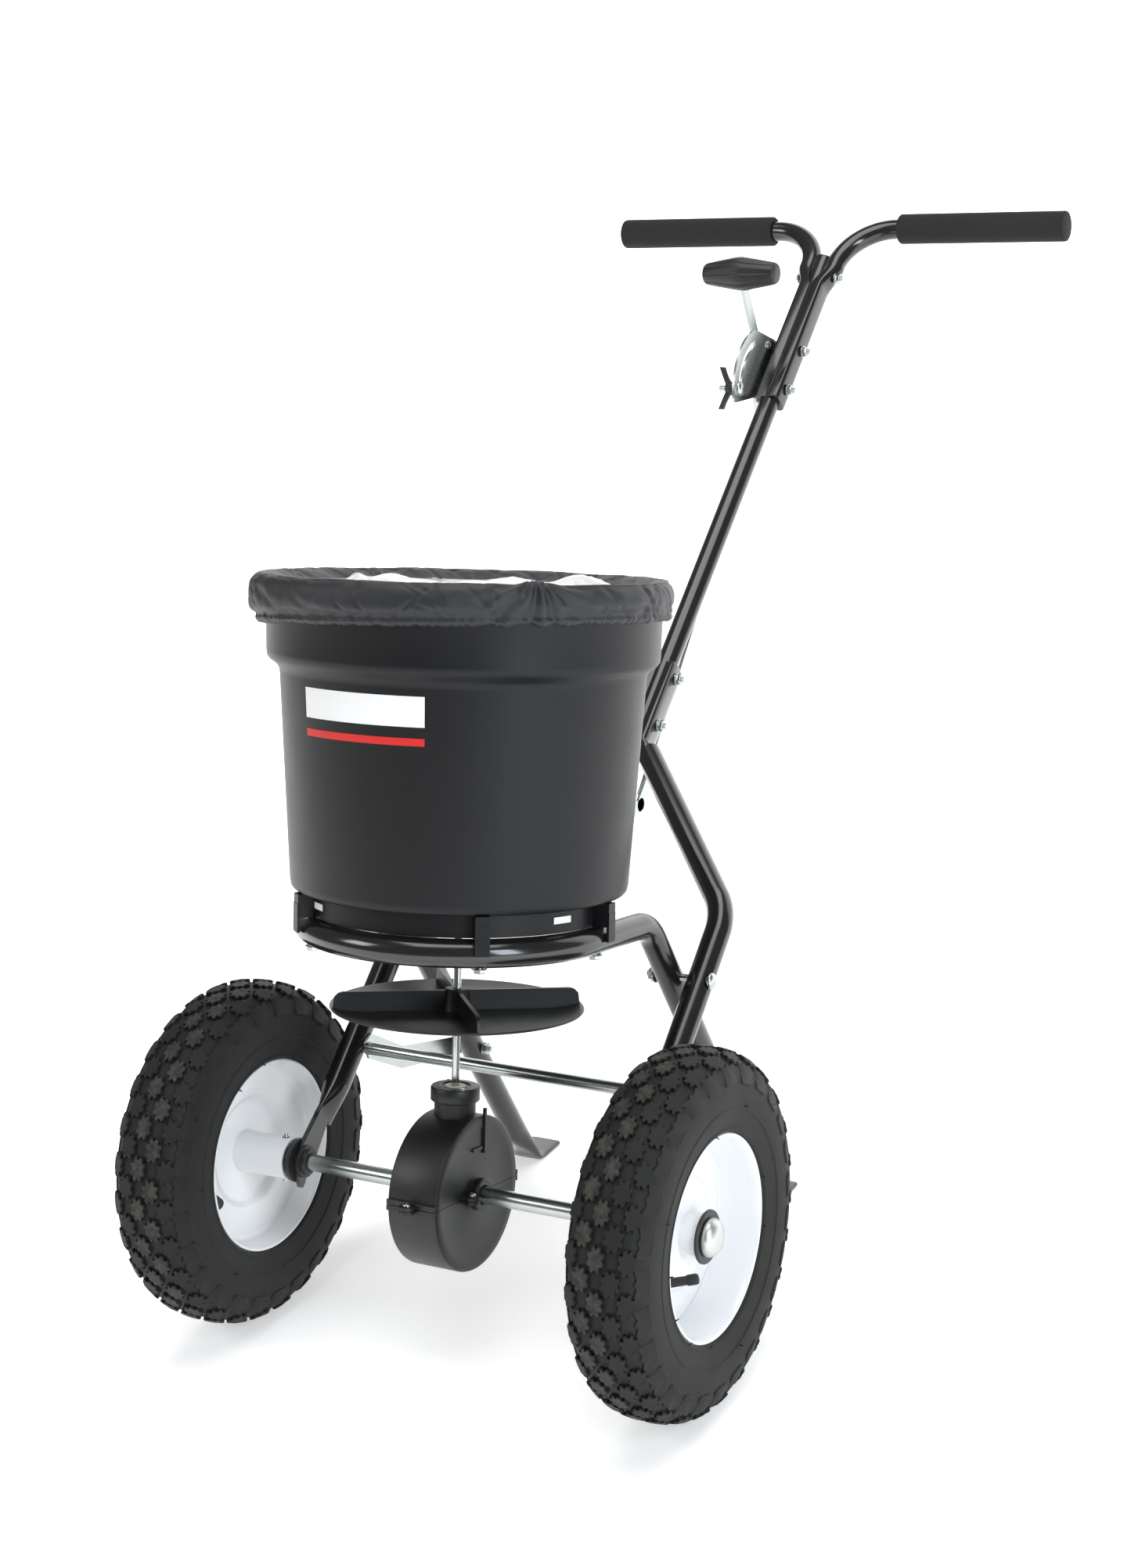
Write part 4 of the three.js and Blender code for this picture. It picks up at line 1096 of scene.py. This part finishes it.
def wrinkle(a, along, crest_at):
    """Height of the cloth's dents, creases, gather and hem puckers, mm."""
    ring = Vector((math.cos(a), math.sin(a), 0))
    rise = 1.3 * noise.fractal(ring * 3.6 + Z * along * 0.02, 0.9, 2.0, 3)
    skewed = a + along * 0.005
    folds = noise.noise(Vector((math.cos(skewed) * 8, math.sin(skewed) * 8, along * 0.018)))
    rise -= 1.1 * max(0, 1 - 5 * abs(folds)) * smooth(along / 18)
    for at, width, depth, skew in CREASES:
        d = turned(a, at + skew * along) / width
        rise -= depth * math.exp(-d * d) * (1 - 1.4 * math.exp(-((d - 1.1) ** 2))) * smooth(along / 14)
    across = turned(a, GATHER) * 185
    fan = math.atan2(across, max(crest_at - along, 0) + 7)
    pleats = math.exp(-((across / 44) ** 2)) * math.sin(13 * fan + 3 * noise.noise(ring * 6))
    rise += 1.9 * pleats * smooth((crest_at + 10 - along) / 14)
    if along < 17:
        row = a * 185
        pucker = abs(math.sin(row * 0.36 + 2.6 * noise.noise(ring * 14)))
        rise += (1 - along / 17) * (1.5 * pucker - 0.9 + 0.9 * noise.noise(ring * 40 + Z * along * 0.1))
    return rise


def window_height(at):
    """The slack clear window: sagging, with puffs and crumples."""
    across, ahead = at.x * 0.875 + at.y * 0.485, at.y * 0.875 - at.x * 0.485
    rise = 549.0
    for x, y, wide, deep, high in PUFFS:
        rise += high * math.exp(-(((across - x) / wide) ** 2) - ((ahead - y) / deep) ** 2)
    crumple = noise.noise(Vector((across * 0.05 + ahead * 0.02, ahead * 0.018, 1)))
    return rise + 3.4 * (0.5 - abs(crumple)) + 1.2 * noise.fractal(at * 0.03, 0.9, 2.0, 3)


def cover():
    """The gathered nylon cover with its clear window, as one sheet."""
    around, points, faces, slots = 900, [], [], []
    widest, highest = 193.8, 568
    inner = [150, 143] + list(range(136, 0, -8))
    for i in range(around):
        a = 2 * math.pi * i / around
        line = spline(cover_section(a), 3)
        along, crest_at = [0.0], 0.0
        for k in range(1, len(line)):
            along.append(along[-1] + (line[k] - line[k - 1]).length)
            if line[k].y > line[k - 1].y:
                crest_at = along[-1]
        column = []
        for k, p in enumerate(line):
            run = (line[min(k + 1, len(line) - 1)] - line[max(k - 1, 0)]).normalized()
            rise = wrinkle(a, along[k], crest_at) * (0.35 if 174 < p.x < 182 and p.y > 550 else 1)
            q = p + Vector((run.y, -run.x)) * rise
            r = min(q.x, widest)
            column.append(Vector((r * math.cos(a), r * math.sin(a), q.y)))
        edge = line[-1].y
        for r in inner:
            at = Vector((r * math.cos(a), r * math.sin(a), 0))
            blend = smooth((r - 128) / 29)
            at.z = min(window_height(at) * (1 - blend) + edge * blend, highest)
            column.append(at)
        points.append(column)
    rows = len(points[0])
    flat = [column[k] for k in range(rows) for column in points]
    for k in range(rows - 1):
        for i in range(around):
            j = (i + 1) % around
            faces.append((k * around + i, k * around + j, (k + 1) * around + j, (k + 1) * around + i))
            a = 2 * math.pi * i / around
            wave = 2.4 * noise.noise(Vector((5 * math.cos(a), 5 * math.sin(a), 9)))
            slots.append(1 if k > rows - len(inner) - 1 + wave else 0)
    flat.append(Vector((0, 0, window_height(Vector((0, 0, 0))))))
    for i in range(around):
        faces.append(((rows - 1) * around + i, (rows - 1) * around + (i + 1) % around, len(flat) - 1))
        slots.append(1)
    obj = new_object("rain_cover_cloth", [MACHINE @ p for p in flat], faces, [CLOTH, VINYL])
    mesh = obj.data
    mesh.polygons.foreach_set("material_index", slots)
    mesh.polygons.foreach_set("use_smooth", [True] * len(faces))
    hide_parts("rain_cover")
    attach(obj, "cover")


cover()


# ---------------------------------------------------------------- gearbox
def gearbox():
    """The two halves of the drum, joined flat at the axle."""
    for up, word in ((1, "top"), (-1, "bottom")):
        s = Shape()
        half = [
            (72, 22.6), (71.4, 24.6), (69.5, 25.6), (62, 25.6), (60, 25), (17, 25), (15, 25.6),
            (15, 32), (14, 33), (9, 33),
        ]
        profile = [(r, -h) for r, h in reversed(half)] + half
        rings, steps = [], 64
        for k in range(steps + 1):
            a = math.radians(0.12 + (179.76) * k / steps) * up
            rings.append([Vector((h, r * math.cos(a), r * math.sin(a))) for r, h in profile])
        s.add(loft(rings))
        for x, y in ((0, -79), (0, 79), (32, -20)):
            ear = lathe([(0, 0.16), (7.5, 0.16), (7.5, 3.4), (0, 3.4)], 40)
            s.add(ear, Matrix.Translation((x, y, 0)) @ Matrix.Scale(up, 4, Z))
            if x:
                s.add(block(14, 13, 3.2), Matrix.Translation((x * 0.78, y, up * 1.77)))
            else:
                s.add(block(11, 14, 3.2), Matrix.Translation((0, y * 0.93, up * 1.77)))
        s.add(block(50, 2.4, 5), Matrix.Translation((0, 73, up * 2.7)))
        s.add(block(50, 2.4, 5), Matrix.Translation((0, -73, up * 2.7)))
        if up > 0:
            s.add(lathe([(15.6, 60), (19, 60), (19, 83.6), (15.6, 83.6)], 64))
            s.add(block(3, 3, 42), Matrix.Translation((26, 10, 57)))
            s.add(block(2, 16, 3), Matrix.Translation((25.6, -2, 42)))
        s.piece(f"gearbox_{word}_shell", "frame", [f"gearbox_{word}"], [PLASTIC], bevel=0.5)


gearbox()
for (x, y), name in (((0, -79), "front"), ((0, 79), "rear"), ((32, -20), "side")):
    s = Shape().add(
        lathe([(0, 0), (3.8, 0), (3.8, 0.8), (3, 2.0), (1.4, 2.6), (1.3, 1.9), (0, 1.9)], 32),
        placed((x, y, 3.7), Z),
    )
    s.add(rod(1.9, 7, 16), placed((x, y, -3.2), Z))
    s.piece(f"gearbox_screw_{name}_pan", "frame", [f"gearbox_screw_{name}"], [ZINC], bevel=0)
cap_line = [
    (3.9, 84.3), (22, 84.3), (22.5, 85), (22.5, 96.4), (21.6, 97.6), (14, 98), (13, 96.8), (3.9, 96.8),
]
cap = Shape().add(lathe(cap_line, 72))
cap.add(lathe([(3.9, 70), (15.3, 70), (15.3, 85), (3.9, 85)], 48))
cap.add(lathe([(3.95, 96.8), (9.4, 96.8), (9.4, 97.8), (3.95, 97.8)], 48), slot=1)
for a in (-40, 140):
    spot = Vector((18.3 * math.cos(math.radians(a)), 18.3 * math.sin(math.radians(a)), 97.4))
    cap.add(lathe([(0, 0), (2.8, 0), (2.6, 1.0), (1.2, 1.5), (0, 1.4)], 24), placed(spot, Z), slot=2)
cap.piece("gearbox_cap_round", "frame", ["gearbox_cap"], [PLASTIC, NYLON, ZINC], bevel=0.3)

# ---------------------------------------------------------------- spinner
shaft = Shape().add(lathe([(0, 22), (3.2, 22), (3.6, 22.6), (3.6, 291.4), (3.2, 292), (0, 292)], 40))
shaft.piece("spinner_shaft_steel", "spinner_drive", ["spinner_shaft"], [ZINC], bevel=0)
dish = [
    (3.7, 163), (12, 163), (12.5, 165.2), (20, 165.6), (88, 165.8), (104, 167.6), (113, 169.6),
    (115, 170.2), (115.6, 171.2), (115, 172.3), (112, 171.8), (103, 169.8), (88, 168.2),
    (12.5, 168), (11.4, 176), (11, 187.4), (10.4, 188), (3.7, 188),
]
spinner = Shape().add(lathe(dish, 160))
for i in range(4):
    turn = Matrix.Rotation(
        math.radians(41 + 90 * i),
        4,
        "Z",
    ) @ Matrix.Rotation(math.radians(-90), 4, "Z")
    fin = [
        (10, 166.8), (10, 186), (104, 186.2), (109, 185), (112.2, 181.6), (113.6, 170.8), (103, 168.6),
        (88, 167),
    ]
    spinner.add(plate(fin, -1.2, 1.2), turn)
    spinner.add(
        plate([(10, 184.4), (10, 186.4), (104, 186.6), (108, 185.6), (108, 184.4)], -1.9, 1.9),
        turn,
    )
spinner.piece("spinner_plate", "spinner_drive", ["spinner"], [PLASTIC], bevel=0.4)

# ---------------------------------------------------------------- inner parts, in their CAD shape
PAINTS = {"zinc_plate": ZINC, "gear_nylon": NYLON}
for name in ("drive_gear", "pinion", "agitator", "shutter"):
    node = frame["nodes"][name]
    node.data.materials.clear()
    node.data.materials.append(PAINTS[SLOTS[name]])


# ---------------------------------------------------------------- floor, light and camera
def studio():
    """A white sweep that glows more with distance, a window and two softboxes, in a dim room."""
    paper = material("floor", (0.92, 0.92, 0.92), 0.7, mottle=0.004, grain=0.02)
    nodes, links = paper.node_tree.nodes, paper.node_tree.links
    far = nodes.new("ShaderNodeVectorMath")
    far.operation = "LENGTH"
    links.new(nodes["Texture Coordinate"].outputs["Object"], far.inputs[0])
    glow = nodes.new("ShaderNodeMapRange")
    glow.interpolation_type = "SMOOTHSTEP"
    for key, value in {"From Min": 0.45, "From Max": 1.7, "To Min": 0.42, "To Max": 1.05}.items():
        glow.inputs[key].default_value = value
    links.new(far.outputs["Value"], glow.inputs["Value"])
    shader = nodes["Principled BSDF"]
    shader.inputs["Emission Color"].default_value = (1, 1, 1, 1)
    links.new(glow.outputs["Result"], shader.inputs["Emission Strength"])
    points, faces = [], []
    width, front, back, radius, height, steps = 5.0, -4.0, 4.0, 1.6, 5.0, 20
    outline = [(front, 0.0)]
    for k in range(steps + 1):
        a = math.radians(90 * k / steps)
        outline.append((back - radius + radius * math.sin(a), radius - radius * math.cos(a)))
    outline.append((back, height))
    for y, z in outline:
        points += [(-width, y, z), (width, y, z)]
    for k in range(len(outline) - 1):
        faces.append((2 * k, 2 * k + 1, 2 * k + 3, 2 * k + 2))
    floor = new_object("floor", points, faces, [paper])
    floor.data.polygons.foreach_set("use_smooth", [True] * len(faces))

    def lamp(name, at, to, wide, tall, power, colour=(1, 1, 1)):
        data = bpy.data.lights.new(name, "AREA")
        data.shape = "RECTANGLE"
        data.size, data.size_y = wide, tall
        data.energy = power
        data.color = colour
        obj = bpy.data.objects.new(name, data)
        obj.location = at
        obj.rotation_mode = "QUATERNION"
        obj.rotation_quaternion = (Vector(to) - Vector(at)).to_track_quat("-Z", "Y")
        bpy.context.scene.collection.objects.link(obj)

    lamp("window", (2.7, -1.5, 1.5), (0, 0, 0.45), 0.9, 1.9, 52, (0.86, 0.93, 1.0))
    lamp("softbox", (-2.2, -2.4, 2.2), (0, 0, 0.4), 1.2, 1.2, 30)
    lamp("overhead", (0.2, -0.3, 3.2), (0, 0, 0), 2.4, 2.4, 62)
    world = bpy.data.worlds.new("studio")
    world.use_nodes = True
    world.node_tree.nodes["Background"].inputs["Color"].default_value = (1, 1, 1, 1)
    world.node_tree.nodes["Background"].inputs["Strength"].default_value = 0.16
    bpy.context.scene.world = world
    bpy.context.scene.view_settings.view_transform = "Standard"


studio()


def camera():
    """A camera in front of the machine's right side, set out about the axle."""
    data = bpy.data.cameras.new("camera")
    data.lens, data.sensor_width = 59.64, 36
    data.clip_start, data.clip_end = 0.05, 50
    obj = bpy.data.objects.new("camera", data)
    yaw, pitch, roll = math.radians(29.0), math.radians(-7.5), math.radians(1.46)
    ahead = Vector((-math.sin(yaw) * math.cos(pitch), math.cos(yaw) * math.cos(pitch), math.sin(pitch)))
    right = ahead.cross(Z).normalized()
    up = right.cross(ahead)
    rolled_right = right * math.cos(roll) + up * math.sin(roll)
    rolled_up = up * math.cos(roll) - right * math.sin(roll)
    turn = Matrix((rolled_right, rolled_up, -ahead)).transposed().to_4x4()
    spin = Matrix.Rotation(-TILT, 4, "X")
    at = MACHINE @ Vector((1202.1, -1976.3, 681.2))
    obj.matrix_world = Matrix.Translation(at) @ spin @ turn
    bpy.context.scene.collection.objects.link(obj)
    bpy.context.scene.camera = obj


camera()
